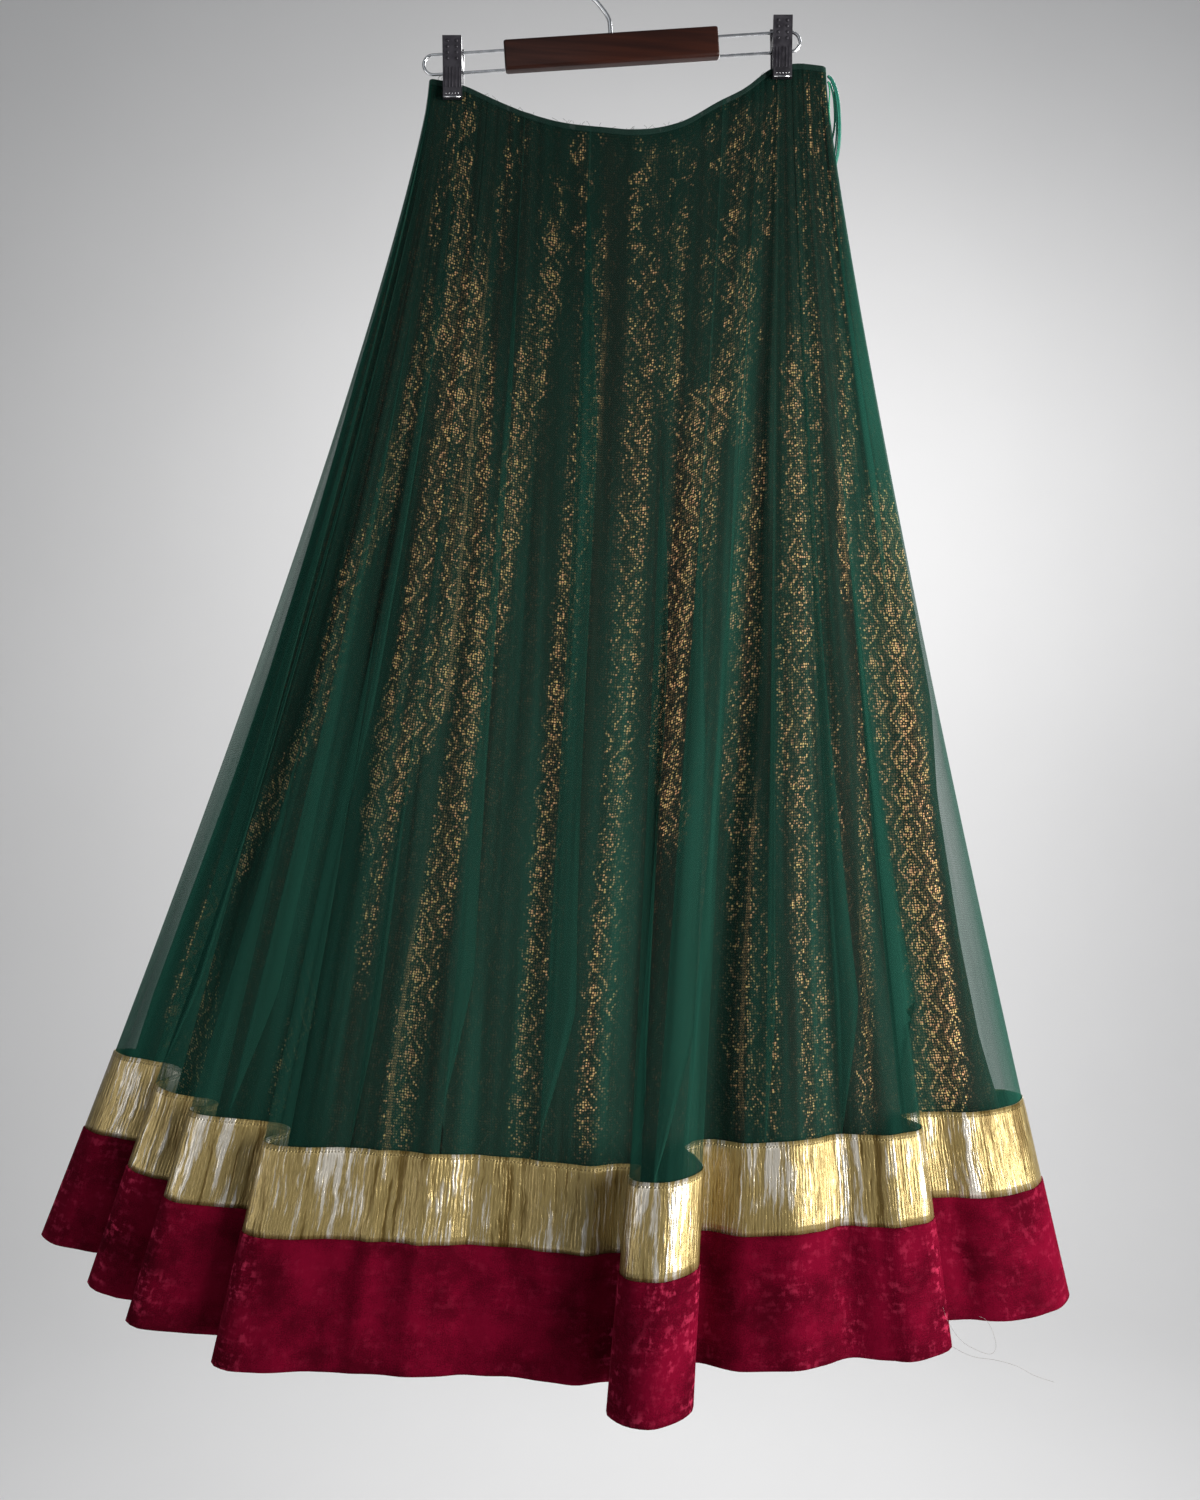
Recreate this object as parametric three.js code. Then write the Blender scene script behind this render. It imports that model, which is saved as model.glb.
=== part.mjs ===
import * as THREE from 'three';

// A floor-length flared lehenga skirt, hung by its waist on a clip hanger.
// Millimetres, +Z up, +X to the right of someone who faces the skirt, the front faces -Y.
// The origin is the inside top of the hanger's hook, where the hook rests on a rod.

// ---- driving dimensions ----

const HANGER_TILT = THREE.MathUtils.degToRad(3.7);
const BAR = { length: 197, height: 28, depth: 12, centreZ: -83.3, edgeRadius: 3 };
const RAIL = { diameter: 3, reach: 173.3, above: 6, below: 12.2, straightRun: 20, bendRun: 6 };
const HOOK = { diameter: 4, radius: 24, arcFrom: 175, arcTo: -38, arcSteps: 9 };
const CLIP = {
  width: 17.5,
  height: 55,
  mouthHalf: 8.8,
  lipWidth: 16.5,
  lipHeight: 9,
  lipThickness: 1.2,
  lipGap: 0.5,
};
const GAP = 0.3;
const ROW_STEPS = { front: 2, back: 3 };
const TUBE_SIDES = 8;
const BEND_STEPS = 6;

const CLOTH = { net: 1, lining: 1, gold: 1, velvet: 1.5, binding: 5 };
const SKIRT_LENGTH = 1120;
const VELVET_HEIGHT = 106;
const GOLD_HEIGHT = 75;

// Waist: a flat oval, pinched between the clips' jaws and sagging between them.
const WAIST = {
  left: -161.5,
  right: 202,
  half: 4.3,
  frontSwell: 9,
  backSwell: 6,
  swellFrom: -125,
  swellTo: 145,
  endRadius: 5,
  liningInset: 1.8,
  liningEnd: 4,
};

// Height of the waist's edge along X. The back edge sags a little less than the front.
const WAIST_EDGE = [
  { x: -161.5, front: -111, back: -111 },
  { x: -127, front: -119, back: -118 },
  { x: -106, front: -129, back: -126 },
  { x: -75, front: -143, back: -138 },
  { x: -42, front: -154, back: -149 },
  { x: -3, front: -160, back: -155 },
  { x: 32, front: -162, back: -157 },
  { x: 70, front: -153, back: -149 },
  { x: 104, front: -133, back: -131 },
  { x: 128, front: -120, back: -119 },
  { x: 151, front: -103, back: -103 },
  { x: 171, front: -98, back: -98 },
  { x: 202, front: -100, back: -100 },
];

// How fast a line down the cloth leaves the waist, sideways and in depth.
const FLARE_SIDE = 1.17;
const FLARE_DEPTH = 1.3;

// Each fold opens from start to start + FOLD_GROWTH of the way down.
const FOLD_GROWTH = 0.4;

// The net's hem, a row for each turn of a fold: its place at the hem, the waist's X that it
// hangs from, and the share of the length at which the fold starts.
const NET_FRONT = [
  { x: -521, y: 14, z: -1176, waist: -161.5, start: 0.3 },
  { x: -502, y: -8, z: -1178, waist: -160.4, start: 0.45 },
  { x: -472, y: -13, z: -1182, waist: -159.2, start: 0.5 },
  { x: -446, y: -11, z: -1187, waist: -158.2, start: 0.5 },
  { x: -435, y: -19, z: -1192, waist: -157.2, start: 0.5 },
  { x: -447, y: -28, z: -1196, waist: -156.2, start: 0.5 },
  { x: -460, y: -37, z: -1200, waist: -155.2, start: 0.5 },
  { x: -446, y: -46, z: -1206, waist: -154, start: 0.5 },
  { x: -418, y: -47, z: -1212, waist: -152.4, start: 0.5 },
  { x: -398, y: -45, z: -1215, waist: -151.2, start: 0.48 },
  { x: -387, y: -53, z: -1218, waist: -150, start: 0.47 },
  { x: -400, y: -62, z: -1218, waist: -148.8, start: 0.46 },
  { x: -414, y: -71, z: -1218, waist: -147.4, start: 0.44 },
  { x: -399, y: -80, z: -1222, waist: -145.8, start: 0.42 },
  { x: -352, y: -81, z: -1227, waist: -142, start: 0.38 },
  { x: -316, y: -77, z: -1232, waist: -138.6, start: 0.34 },
  { x: -303, y: -85, z: -1236, waist: -136.4, start: 0.32 },
  { x: -316, y: -94, z: -1239, waist: -134, start: 0.3 },
  { x: -330, y: -103, z: -1242, waist: -131, start: 0.26 },
  { x: -313, y: -112, z: -1245, waist: -126, start: 0.22 },
  { x: -240, y: -110, z: -1245, waist: -108, start: 0.2 },
  { x: -170, y: -117, z: -1246, waist: -82, start: 0.2 },
  { x: -90, y: -108, z: -1250, waist: -36, start: 0.2 },
  { x: -28, y: -112, z: -1255, waist: 22, start: 0.15 },
  { x: 6, y: -104, z: -1257, waist: 56, start: 0.1 },
  { x: 19, y: -112, z: -1258, waist: 70, start: 0.06 },
  { x: 12, y: -130, z: -1258, waist: 82, start: 0.05 },
  { x: 3, y: -153, z: -1260, waist: 95, start: 0.05 },
  { x: 35, y: -176, z: -1260, waist: 113, start: 0.05 },
  { x: 66, y: -153, z: -1257, waist: 130, start: 0.05 },
  { x: 58, y: -126, z: -1252, waist: 138, start: 0.05 },
  { x: 47, y: -107, z: -1249, waist: 143, start: 0.05 },
  { x: 57, y: -93, z: -1248, waist: 147, start: 0.05 },
  { x: 80, y: -92, z: -1247, waist: 151, start: 0.05 },
  { x: 116, y: -106, z: -1247, waist: 156.5, start: 0.08 },
  { x: 162, y: -113, z: -1243, waist: 163, start: 0.08 },
  { x: 210, y: -91, z: -1242, waist: 170, start: 0.08 },
  { x: 250, y: -104, z: -1241, waist: 177, start: 0.1 },
  { x: 281, y: -95, z: -1238, waist: 182, start: 0.16 },
  { x: 293, y: -83, z: -1236, waist: 185, start: 0.2 },
  { x: 283, y: -70, z: -1234, waist: 187.4, start: 0.22 },
  { x: 274, y: -57, z: -1233, waist: 189.6, start: 0.24 },
  { x: 286, y: -45, z: -1233, waist: 192, start: 0.26 },
  { x: 320, y: -39, z: -1233, waist: 195, start: 0.26 },
  { x: 360, y: -43, z: -1232, waist: 198, start: 0.28 },
  { x: 404, y: -28, z: -1229, waist: 200.6, start: 0.3 },
];

const NET_BACK = [
  { x: 424, y: 2, z: -1226, waist: 202, start: 0.3 },
  { x: 400, y: 34, z: -1228, waist: 200, start: 0.3 },
  { x: 342, y: 30, z: -1230, waist: 191, start: 0.25 },
  { x: 282, y: 63, z: -1232, waist: 166, start: 0.2 },
  { x: 217, y: 44, z: -1234, waist: 140, start: 0.15 },
  { x: 142, y: 78, z: -1238, waist: 105, start: 0.15 },
  { x: 67, y: 52, z: -1242, waist: 70, start: 0.1 },
  { x: -13, y: 85, z: -1243, waist: 30, start: 0.1 },
  { x: -93, y: 54, z: -1240, waist: -10, start: 0.1 },
  { x: -178, y: 80, z: -1236, waist: -55, start: 0.15 },
  { x: -263, y: 46, z: -1228, waist: -95, start: 0.2 },
  { x: -343, y: 66, z: -1216, waist: -130, start: 0.25 },
  { x: -420, y: 34, z: -1198, waist: -148, start: 0.3 },
  { x: -480, y: 40, z: -1184, waist: -158, start: 0.3 },
];

// The brocade lining is narrower, and hangs in fewer, softer folds behind the net's valleys.
const LINING_FRONT = [
  { x: -496, y: 16, z: -1162, waist: -157.5, start: 0 },
  { x: -478, y: 1, z: -1166, waist: -156.8, start: 0 },
  { x: -442, y: -2, z: -1176, waist: -155.4, start: 0 },
  { x: -398, y: -34, z: -1198, waist: -149.6, start: 0 },
  { x: -360, y: -42, z: -1212, waist: -143.5, start: 0 },
  { x: -312, y: -67, z: -1220, waist: -136.8, start: 0 },
  { x: -270, y: -101, z: -1229, waist: -116, start: 0 },
  { x: -240, y: -103, z: -1230, waist: -108, start: 0 },
  { x: -170, y: -110, z: -1232, waist: -82, start: 0 },
  { x: -90, y: -101, z: -1236, waist: -36, start: 0 },
  { x: -28, y: -104, z: -1240, waist: 22, start: 0 },
  { x: 14, y: -95, z: -1240, waist: 64, start: 0 },
  { x: 47, y: -88, z: -1236, waist: 138, start: 0 },
  { x: 80, y: -84, z: -1233, waist: 151, start: 0 },
  { x: 116, y: -98, z: -1233, waist: 156.5, start: 0 },
  { x: 162, y: -105, z: -1229, waist: 163, start: 0 },
  { x: 208, y: -84, z: -1228, waist: 169.6, start: 0 },
  { x: 238, y: -85, z: -1226, waist: 175.2, start: 0 },
  { x: 274, y: -44, z: -1220, waist: 188, start: 0 },
  { x: 306, y: -30, z: -1219, waist: 192, start: 0 },
  { x: 352, y: -31, z: -1218, waist: 195, start: 0 },
  { x: 386, y: -17, z: -1216, waist: 197, start: 0 },
];

const LINING_BACK = [
  { x: 402, y: 2, z: -1212, waist: 198, start: 0 },
  { x: 378, y: 21, z: -1214, waist: 195, start: 0 },
  { x: 300, y: 30, z: -1217, waist: 172, start: 0 },
  { x: 217, y: 38, z: -1220, waist: 140, start: 0 },
  { x: 67, y: 46, z: -1228, waist: 70, start: 0 },
  { x: -93, y: 48, z: -1226, waist: -10, start: 0 },
  { x: -263, y: 40, z: -1214, waist: -95, start: 0 },
  { x: -380, y: 30, z: -1196, waist: -138, start: 0 },
  { x: -450, y: 27, z: -1176, waist: -152, start: 0 },
];

// The panels that net and lining are cut into: their side, and their first and last hem row.
const NET_PANELS = {
  net_front_left: { side: 'front', first: 0, last: 14 },
  net_front_inner: { side: 'front', first: 14, last: 24 },
  net_front_fold: { side: 'front', first: 24, last: 33 },
  net_front_right: { side: 'front', first: 33, last: 46 },
  net_back_right: { side: 'back', first: 0, last: 7 },
  net_back_left: { side: 'back', first: 7, last: 14 },
};
const LINING_PANELS = {
  lining_front_left: { side: 'front', first: 0, last: 8 },
  lining_front_right: { side: 'front', first: 8, last: 22 },
  lining_back_right: { side: 'back', first: 0, last: 4 },
  lining_back_left: { side: 'back', first: 4, last: 9 },
};

// Rows down the cloth, as shares of the skirt's length.
const VELVET_TOP = 1 - VELVET_HEIGHT / SKIRT_LENGTH;
const GOLD_TOP = 1 - (VELVET_HEIGHT + GOLD_HEIGHT) / SKIRT_LENGTH;
const NET_ROWS = [0, 0.06, 0.16, 0.3, 0.45, 0.58, 0.7, GOLD_TOP, VELVET_TOP, 1];
const LINING_ROWS = [0, 0.06, 0.16, 0.32, 0.52, 0.75, 1];

const FINISH = {
  net: { color: 0x1d5a45, roughness: 0.7, metalness: 0 },
  lining: { color: 0x16201c, roughness: 0.6, metalness: 0 },
  gold: { color: 0x9a8a3c, roughness: 0.35, metalness: 0.6 },
  velvet: { color: 0x6e0420, roughness: 0.9, metalness: 0 },
  satin: { color: 0x1f6b50, roughness: 0.4, metalness: 0 },
  wood: { color: 0x321410, roughness: 0.3, metalness: 0 },
  chrome: { color: 0xc8ccd0, roughness: 0.15, metalness: 1 },
  clipPaint: { color: 0x554e58, roughness: 0.45, metalness: 0.5 },
};

// ---- sections of the cloth ----

const { lerp, clamp, smoothstep } = THREE.MathUtils;

function waistEdgeZ(x, side) {
  const last = WAIST_EDGE.length - 1;
  const row = WAIST_EDGE.findIndex((entry, i) => i === last - 1 || x <= WAIST_EDGE[i + 1].x);
  const share = (x - WAIST_EDGE[row].x) / (WAIST_EDGE[row + 1].x - WAIST_EDGE[row].x);
  return lerp(WAIST_EDGE[row][side], WAIST_EDGE[row + 1][side], clamp(share, 0, 1));
}

// A point of the waist's oval at height z = edge: half of it in front of Y = 0, half behind.
function waistPoint(x, side, inset, end) {
  const fromEnd = Math.max(0, Math.min(x - WAIST.left - end, WAIST.right - end - x));
  const closing = Math.sqrt(1 - (1 - Math.min(1, fromEnd / WAIST.endRadius)) ** 2);
  const between = clamp((x - WAIST.swellFrom) / (WAIST.swellTo - WAIST.swellFrom), 0, 1);
  const swell = side === 'front' ? WAIST.frontSwell : WAIST.backSwell;
  const half = WAIST.half - inset + swell * Math.sin(Math.PI * between) ** 2;
  const y = (side === 'front' ? -1 : 1) * half * closing;
  return { x, y, z: waistEdgeZ(x, side) - CLOTH.binding - GAP - inset };
}

// The hem's rows as a closed ring of columns, on a smooth curve through the rows.
function ringColumns(front, back) {
  const rows = [
    ...front.map((row) => ({ ...row, side: 'front', steps: ROW_STEPS.front })),
    ...back.map((row) => ({ ...row, side: 'back', steps: ROW_STEPS.back })),
  ];
  const count = rows.length;
  const at = (i) => rows[(i + count) % count];
  const chord = (i) => Math.hypot(at(i + 1).x - at(i).x, at(i + 1).y - at(i).y);
  const slope = (i, key) => (at(i + 1)[key] - at(i - 1)[key]) / (chord(i) + chord(i - 1));
  const meanY = (i) => (at(i - 2).y + at(i - 1).y + at(i).y + at(i + 1).y + at(i + 2).y) / 5;
  const columns = [];
  rows.forEach((row, i) => {
    for (let k = 0; k < row.steps; k += 1) {
      const s = k / row.steps;
      const curve = (key) =>
        row[key] * (2 * s ** 3 - 3 * s ** 2 + 1) +
        chord(i) * slope(i, key) * (s ** 3 - 2 * s ** 2 + s) +
        at(i + 1)[key] * (3 * s ** 2 - 2 * s ** 3) +
        chord(i) * slope(i + 1, key) * (s ** 3 - s ** 2);
      columns.push({
        side: row.side,
        x: curve('x'),
        y: curve('y'),
        z: curve('z'),
        waist: lerp(row.waist, at(i + 1).waist, s),
        start: lerp(row.start, at(i + 1).start, s),
        flatY: lerp(meanY(i), meanY(i + 1), s),
      });
    }
  });
  const seam = front.length * ROW_STEPS.front;
  spreadFolds(columns.slice(0, seam + 1));
  spreadFolds([...columns.slice(seam), columns[0]].reverse());
  return { columns, seam };
}

// Gives each column of a panel the X it has where its fold is opened flat: halfway between
// the furthest right reached before it and the furthest left still to come.
function spreadFolds(panel) {
  let reached = -Infinity;
  for (const column of panel) {
    reached = Math.max(reached, column.x);
    column.flatX = reached / 2;
  }
  let coming = Infinity;
  for (const column of [...panel].reverse()) {
    coming = Math.min(coming, column.x);
    column.flatX += coming / 2;
  }
}

// Where a column of the cloth is, share t of the way down from the waist to the hem.
function clothPoint(column, t, inset, end) {
  const top = waistPoint(column.waist, column.side, inset, end);
  const open = smoothstep(t, column.start, column.start + FOLD_GROWTH);
  const fold = column.start > 0 ? open : 1;
  const hemX = lerp(column.flatX, column.x, fold);
  const hemY = lerp(column.flatY, column.y, fold);
  return new THREE.Vector3(
    top.x + (hemX - top.x) * t ** FLARE_SIDE,
    top.y + (hemY - top.y) * t ** FLARE_DEPTH,
    top.z + (column.z - top.z) * t,
  );
}

// One row of a ring, with the direction that points out of the skirt at each point.
function ringRow(columns, t, inset, end) {
  const points = columns.map((column) => clothPoint(column, t, inset, end));
  const count = points.length;
  return points.map((point, i) => {
    const before = points[(i + count - 1) % count];
    const after = points[(i + 1) % count];
    const along = new THREE.Vector3(after.x - before.x, after.y - before.y, 0).normalize();
    return { point, along, out: new THREE.Vector3(along.y, -along.x, 0) };
  });
}

// The columns of a panel, from one of its hem rows to another, each end held off its seam.
function panelRow(row, seam, { side, first, last }) {
  const start = side === 'front' ? 0 : seam;
  const closed = [...row, row[0]];
  const span = closed.slice(start + first * ROW_STEPS[side], start + last * ROW_STEPS[side] + 1);
  return span.map((entry, i) => {
    const hold = i === 0 ? GAP / 2 : i === span.length - 1 ? -GAP / 2 : 0;
    return { ...entry, point: entry.point.clone().addScaledVector(entry.along, hold) };
  });
}

// A closed wall from rows of points: near and far are its distances outward from them.
function wallGeometry(rows, near, far) {
  const height = rows.length;
  const width = rows[0].length;
  const positions = [];
  for (const distance of [far, near]) {
    for (const row of rows) {
      for (const { point, out } of row) {
        positions.push(...point.clone().addScaledVector(out, distance).toArray());
      }
    }
  }
  const outer = (r, c) => r * width + c;
  const inner = (r, c) => (height + r) * width + c;
  const index = [];
  const quad = (a, b, c, d) => index.push(a, b, c, a, c, d);
  for (let r = 0; r + 1 < height; r += 1) {
    for (let c = 0; c + 1 < width; c += 1) {
      quad(outer(r, c), outer(r + 1, c), outer(r + 1, c + 1), outer(r, c + 1));
      quad(inner(r, c), inner(r, c + 1), inner(r + 1, c + 1), inner(r + 1, c));
    }
    quad(outer(r, 0), inner(r, 0), inner(r + 1, 0), outer(r + 1, 0));
    quad(outer(r, width - 1), outer(r + 1, width - 1), inner(r + 1, width - 1), inner(r, width - 1));
  }
  for (let c = 0; c + 1 < width; c += 1) {
    quad(outer(0, c), outer(0, c + 1), inner(0, c + 1), inner(0, c));
    const base = height - 1;
    quad(outer(base, c), inner(base, c), inner(base, c + 1), outer(base, c + 1));
  }
  const geometry = new THREE.BufferGeometry();
  geometry.setAttribute('position', new THREE.Float32BufferAttribute(positions, 3));
  geometry.setIndex(index);
  geometry.computeVertexNormals();
  return geometry;
}

function makeMesh(name, geometry, finish) {
  const mesh = new THREE.Mesh(geometry, new THREE.MeshStandardMaterial(FINISH[finish]));
  mesh.name = name;
  return mesh;
}

// ---- the skirt ----

const BAND_PANELS = {
  front: { side: 'front', first: 0, last: NET_FRONT.length },
  back: { side: 'back', first: 0, last: NET_BACK.length },
};
const netRing = ringColumns(NET_FRONT, NET_BACK);
const liningRing = ringColumns(LINING_FRONT, LINING_BACK);

function netWall(panel, shares, near, thickness) {
  const rows = shares.map((t) => panelRow(ringRow(netRing.columns, t, 0, 0), netRing.seam, panel));
  return wallGeometry(rows, near, near + thickness);
}

function addNet(group) {
  for (const [name, panel] of Object.entries(NET_PANELS)) {
    group.add(makeMesh(name, netWall(panel, NET_ROWS, -CLOTH.net / 2, CLOTH.net), 'net'));
  }
}

function addLining(group) {
  const { columns, seam } = liningRing;
  for (const [name, panel] of Object.entries(LINING_PANELS)) {
    const rows = LINING_ROWS.map((t) =>
      panelRow(ringRow(columns, t, WAIST.liningInset, WAIST.liningEnd), seam, panel),
    );
    const geometry = wallGeometry(rows, -CLOTH.lining / 2, CLOTH.lining / 2);
    group.add(makeMesh(name, geometry, 'lining'));
  }
}

// The gold band and the velvet hem lie on the net, one under the other.
function addBands(group) {
  const onNet = CLOTH.net / 2 + GAP;
  const join = GAP / SKIRT_LENGTH;
  for (const [side, panel] of Object.entries(BAND_PANELS)) {
    const gold = netWall(panel, [GOLD_TOP, VELVET_TOP - join], onNet, CLOTH.gold);
    group.add(makeMesh(`gold_band_${side}`, gold, 'gold'));
    const velvet = netWall(panel, [VELVET_TOP, 1], onNet, CLOTH.velvet);
    group.add(makeMesh(`velvet_hem_${side}`, velvet, 'velvet'));
  }
}

// The narrow binding caps the top edges of net and lining all round the waist.
function addBinding(group) {
  const near = -(WAIST.liningInset + CLOTH.lining / 2);
  const edge = ringRow(netRing.columns, 0, 0, 0);
  for (const [side, panel] of Object.entries(BAND_PANELS)) {
    const rows = [CLOTH.binding + GAP, GAP].map((raise) =>
      panelRow(edge, netRing.seam, panel).map((entry) => {
        const point = entry.point.clone().setZ(entry.point.z + raise);
        return { ...entry, point };
      }),
    );
    const geometry = wallGeometry(rows, near, CLOTH.net / 2);
    group.add(makeMesh(`waist_binding_${side}`, geometry, 'net'));
  }
}

// ---- hanging loops at the right end of the waist ----

const LOOPS = [
  {
    name: 'waist_loop_outer',
    diameter: 2.5,
    steps: 30,
    route: [
      [204.4, 0, -107], [208, 0, -110], [212, 0, -119], [214.6, 0.6, -132], [215.6, 1.2, -146],
      [215.8, 2.8, -160], [214.6, 5, -174], [211.4, 7.6, -188], [207, 9.4, -200],
      [201.5, 10, -207], [196.4, 10, -202], [194, 9.6, -190], [193.2, 9.2, -172],
      [193.2, 8.6, -152], [193.6, 8, -132], [194, 7.4, -118], [194, 6.9, -109],
    ],
  },
  {
    name: 'waist_loop_inner',
    diameter: 2,
    steps: 24,
    route: [
      [204.2, 0.4, -112], [207, 0.6, -115], [209.6, 1, -124], [211, 2, -136],
      [211.4, 3.6, -148], [210.2, 6, -159], [207, 8, -169], [203.4, 8.6, -174],
      [200.4, 8.4, -170], [199.4, 8, -158], [199, 7.6, -142], [199, 7, -126], [199, 6.6, -112],
    ],
  },
];

function circleShape(radius, sides) {
  const points = [];
  for (let i = 0; i < sides; i += 1) {
    const angle = (2 * Math.PI * i) / sides;
    points.push(new THREE.Vector2(radius * Math.cos(angle), radius * Math.sin(angle)));
  }
  return new THREE.Shape(points);
}

function tubeGeometry(points, diameter, steps) {
  const path = new THREE.CatmullRomCurve3(points.map((point) => new THREE.Vector3(...point)));
  const options = { steps, extrudePath: path, bevelEnabled: false };
  return new THREE.ExtrudeGeometry(circleShape(diameter / 2, TUBE_SIDES), options);
}

function addLoops(group) {
  for (const { name, diameter, steps, route } of LOOPS) {
    group.add(makeMesh(name, tubeGeometry(route, diameter, steps), 'satin'));
  }
}

// ---- the hanger ----

function barGeometry() {
  const { length, height, depth, edgeRadius: r } = BAR;
  const y = depth / 2 - r;
  const z = height / 2 - r;
  const shape = new THREE.Shape();
  shape.absarc(y, z, r, 0, Math.PI / 2);
  shape.absarc(-y, z, r, Math.PI / 2, Math.PI);
  shape.absarc(-y, -z, r, Math.PI, 1.5 * Math.PI);
  shape.absarc(y, -z, r, 1.5 * Math.PI, 2 * Math.PI);
  const options = { depth: length, curveSegments: 4, bevelEnabled: false };
  const geometry = new THREE.ExtrudeGeometry(shape, options);
  geometry.translate(0, 0, -length / 2);
  return alongX(geometry);
}

// Turns a section drawn in (y, z) and extruded along Z so that it runs along X.
function alongX(geometry) {
  geometry.applyMatrix4(new THREE.Matrix4().set(0, 0, 1, 0, 1, 0, 0, 0, 0, 1, 0, 0, 0, 0, 0, 1));
  return geometry;
}

// A wire loop out of one end of the bar: out along the top, round, and back below.
function railPoints(sign) {
  const top = BAR.centreZ + RAIL.above;
  const bottom = BAR.centreZ - RAIL.below;
  const radius = (top - bottom) / 2;
  const endX = RAIL.reach - radius;
  const startX = BAR.length / 2 + GAP;
  const { straightRun, bendRun } = RAIL;
  const straight = [startX, startX + straightRun, endX - straightRun, endX - bendRun];
  const points = straight.map((x) => [sign * x, 0, top]);
  for (let i = 0; i <= BEND_STEPS; i += 1) {
    const angle = Math.PI / 2 - (Math.PI * i) / BEND_STEPS;
    const z = (top + bottom) / 2 + radius * Math.sin(angle);
    points.push([sign * (endX + radius * Math.cos(angle)), 0, z]);
  }
  for (const x of straight.toReversed()) points.push([sign * x, 0, bottom]);
  return points;
}

// The neck between the hook's straight stem and its arc.
const HOOK_NECK = [[0, 0, -61], [-0.6, 0, -55], [-4, 0, -48], [-11, 0, -38], [-18.6, 0, -30.4]];

// The hook's wire: up out of the bar, left, and round over the rod to a tip at the right.
function hookPoints() {
  const { radius, diameter, arcFrom, arcTo, arcSteps } = HOOK;
  const centreZ = diameter / 2 - radius;
  const points = [[0, 0, BAR.centreZ + BAR.height / 2 + GAP], ...HOOK_NECK];
  for (let i = 0; i <= arcSteps; i += 1) {
    const angle = THREE.MathUtils.degToRad(lerp(arcFrom, arcTo, i / arcSteps));
    points.push([radius * Math.cos(angle), 0, centreZ + radius * Math.sin(angle)]);
  }
  return points;
}

function addHanger(group) {
  const hanger = new THREE.Group();
  hanger.rotation.y = -HANGER_TILT;
  const bar = makeMesh('hanger_bar', barGeometry(), 'wood');
  bar.position.z = BAR.centreZ;
  hanger.add(bar);
  hanger.add(makeMesh('hanger_hook', tubeGeometry(hookPoints(), HOOK.diameter, 30), 'chrome'));
  for (const [name, sign] of [['left', -1], ['right', 1]]) {
    const geometry = tubeGeometry(railPoints(sign), RAIL.diameter, 22);
    hanger.add(makeMesh(`hanger_rail_${name}`, geometry, 'chrome'));
  }
  group.add(hanger);
}

// A clip's side view in (y, z) down from its top: two jaws on a web between the rails.
const CLIP_HALF_PROFILE = [
  [10.8, 0], [13.5, 0], [9.8, -26], [CLIP.mouthHalf, -CLIP.height], [5.8, -CLIP.height], [6.4, -25],
];
const CLIP_WEB_TOP = [6.9, -16];
const CLIP_PLACES = [
  { name: 'left', x: -140, top: -76.6 },
  { name: 'right', x: 161.5, top: -58 },
];

function clipGeometry() {
  const right = [CLIP_WEB_TOP, ...CLIP_HALF_PROFILE];
  const left = right.map(([y, z]) => [-y, z]).reverse();
  const shape = new THREE.Shape([...right, ...left].map(([y, z]) => new THREE.Vector2(y, z)));
  const geometry = new THREE.ExtrudeGeometry(shape, { depth: CLIP.width, bevelEnabled: false });
  geometry.translate(0, 0, -CLIP.width / 2);
  return alongX(geometry);
}

function lipGeometry(sign) {
  const { lipWidth, lipThickness, lipHeight } = CLIP;
  const geometry = new THREE.BoxGeometry(lipWidth, lipThickness, lipHeight);
  const y = CLIP.mouthHalf + CLIP.lipGap + lipThickness / 2;
  geometry.translate(0, sign * y, lipHeight / 2 - CLIP.height);
  return geometry;
}

function addClips(group) {
  for (const { name, x, top } of CLIP_PLACES) {
    const clip = new THREE.Group();
    clip.position.set(x, 0, top);
    clip.add(makeMesh(`clip_${name}`, clipGeometry(), 'clipPaint'));
    clip.add(makeMesh(`clip_${name}_lip_front`, lipGeometry(-1), 'chrome'));
    clip.add(makeMesh(`clip_${name}_lip_back`, lipGeometry(1), 'chrome'));
    group.add(clip);
  }
}

// ---- the whole object ----

const lehenga = new THREE.Group();
addNet(lehenga);
addLining(lehenga);
addBands(lehenga);
addBinding(lehenga);
addLoops(lehenga);
addHanger(lehenga);
addClips(lehenga);

export default lehenga;
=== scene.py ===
"""A green net lehenga skirt over a brocade lining, on its clip hanger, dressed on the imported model.

Metres, +Z up, the skirt's front faces -Y, and the origin is where the hanger's hook rests on a rod.
Every cloth follows the sections that its solid follows: straight lines from the waist to the hem.
"""

import math

import bpy
import numpy as np
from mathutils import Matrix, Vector


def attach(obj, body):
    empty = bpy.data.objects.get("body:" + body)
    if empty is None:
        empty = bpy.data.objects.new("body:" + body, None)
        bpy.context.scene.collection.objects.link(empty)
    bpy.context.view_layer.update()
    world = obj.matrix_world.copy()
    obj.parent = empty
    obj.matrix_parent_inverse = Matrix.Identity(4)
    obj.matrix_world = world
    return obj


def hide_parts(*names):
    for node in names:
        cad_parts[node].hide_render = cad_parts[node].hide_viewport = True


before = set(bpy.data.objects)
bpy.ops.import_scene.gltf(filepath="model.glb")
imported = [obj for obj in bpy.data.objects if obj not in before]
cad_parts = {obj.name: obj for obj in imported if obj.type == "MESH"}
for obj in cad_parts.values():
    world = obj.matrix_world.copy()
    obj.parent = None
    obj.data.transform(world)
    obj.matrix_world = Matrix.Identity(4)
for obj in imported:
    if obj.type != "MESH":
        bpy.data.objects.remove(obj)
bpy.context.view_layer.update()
MM = 0.001

# ---- the skirt's sections: sizes in millimetres, as in the part's source ----

SKIRT_LENGTH = 1120
GOLD_HEIGHT, VELVET_HEIGHT = 75, 106
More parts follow.
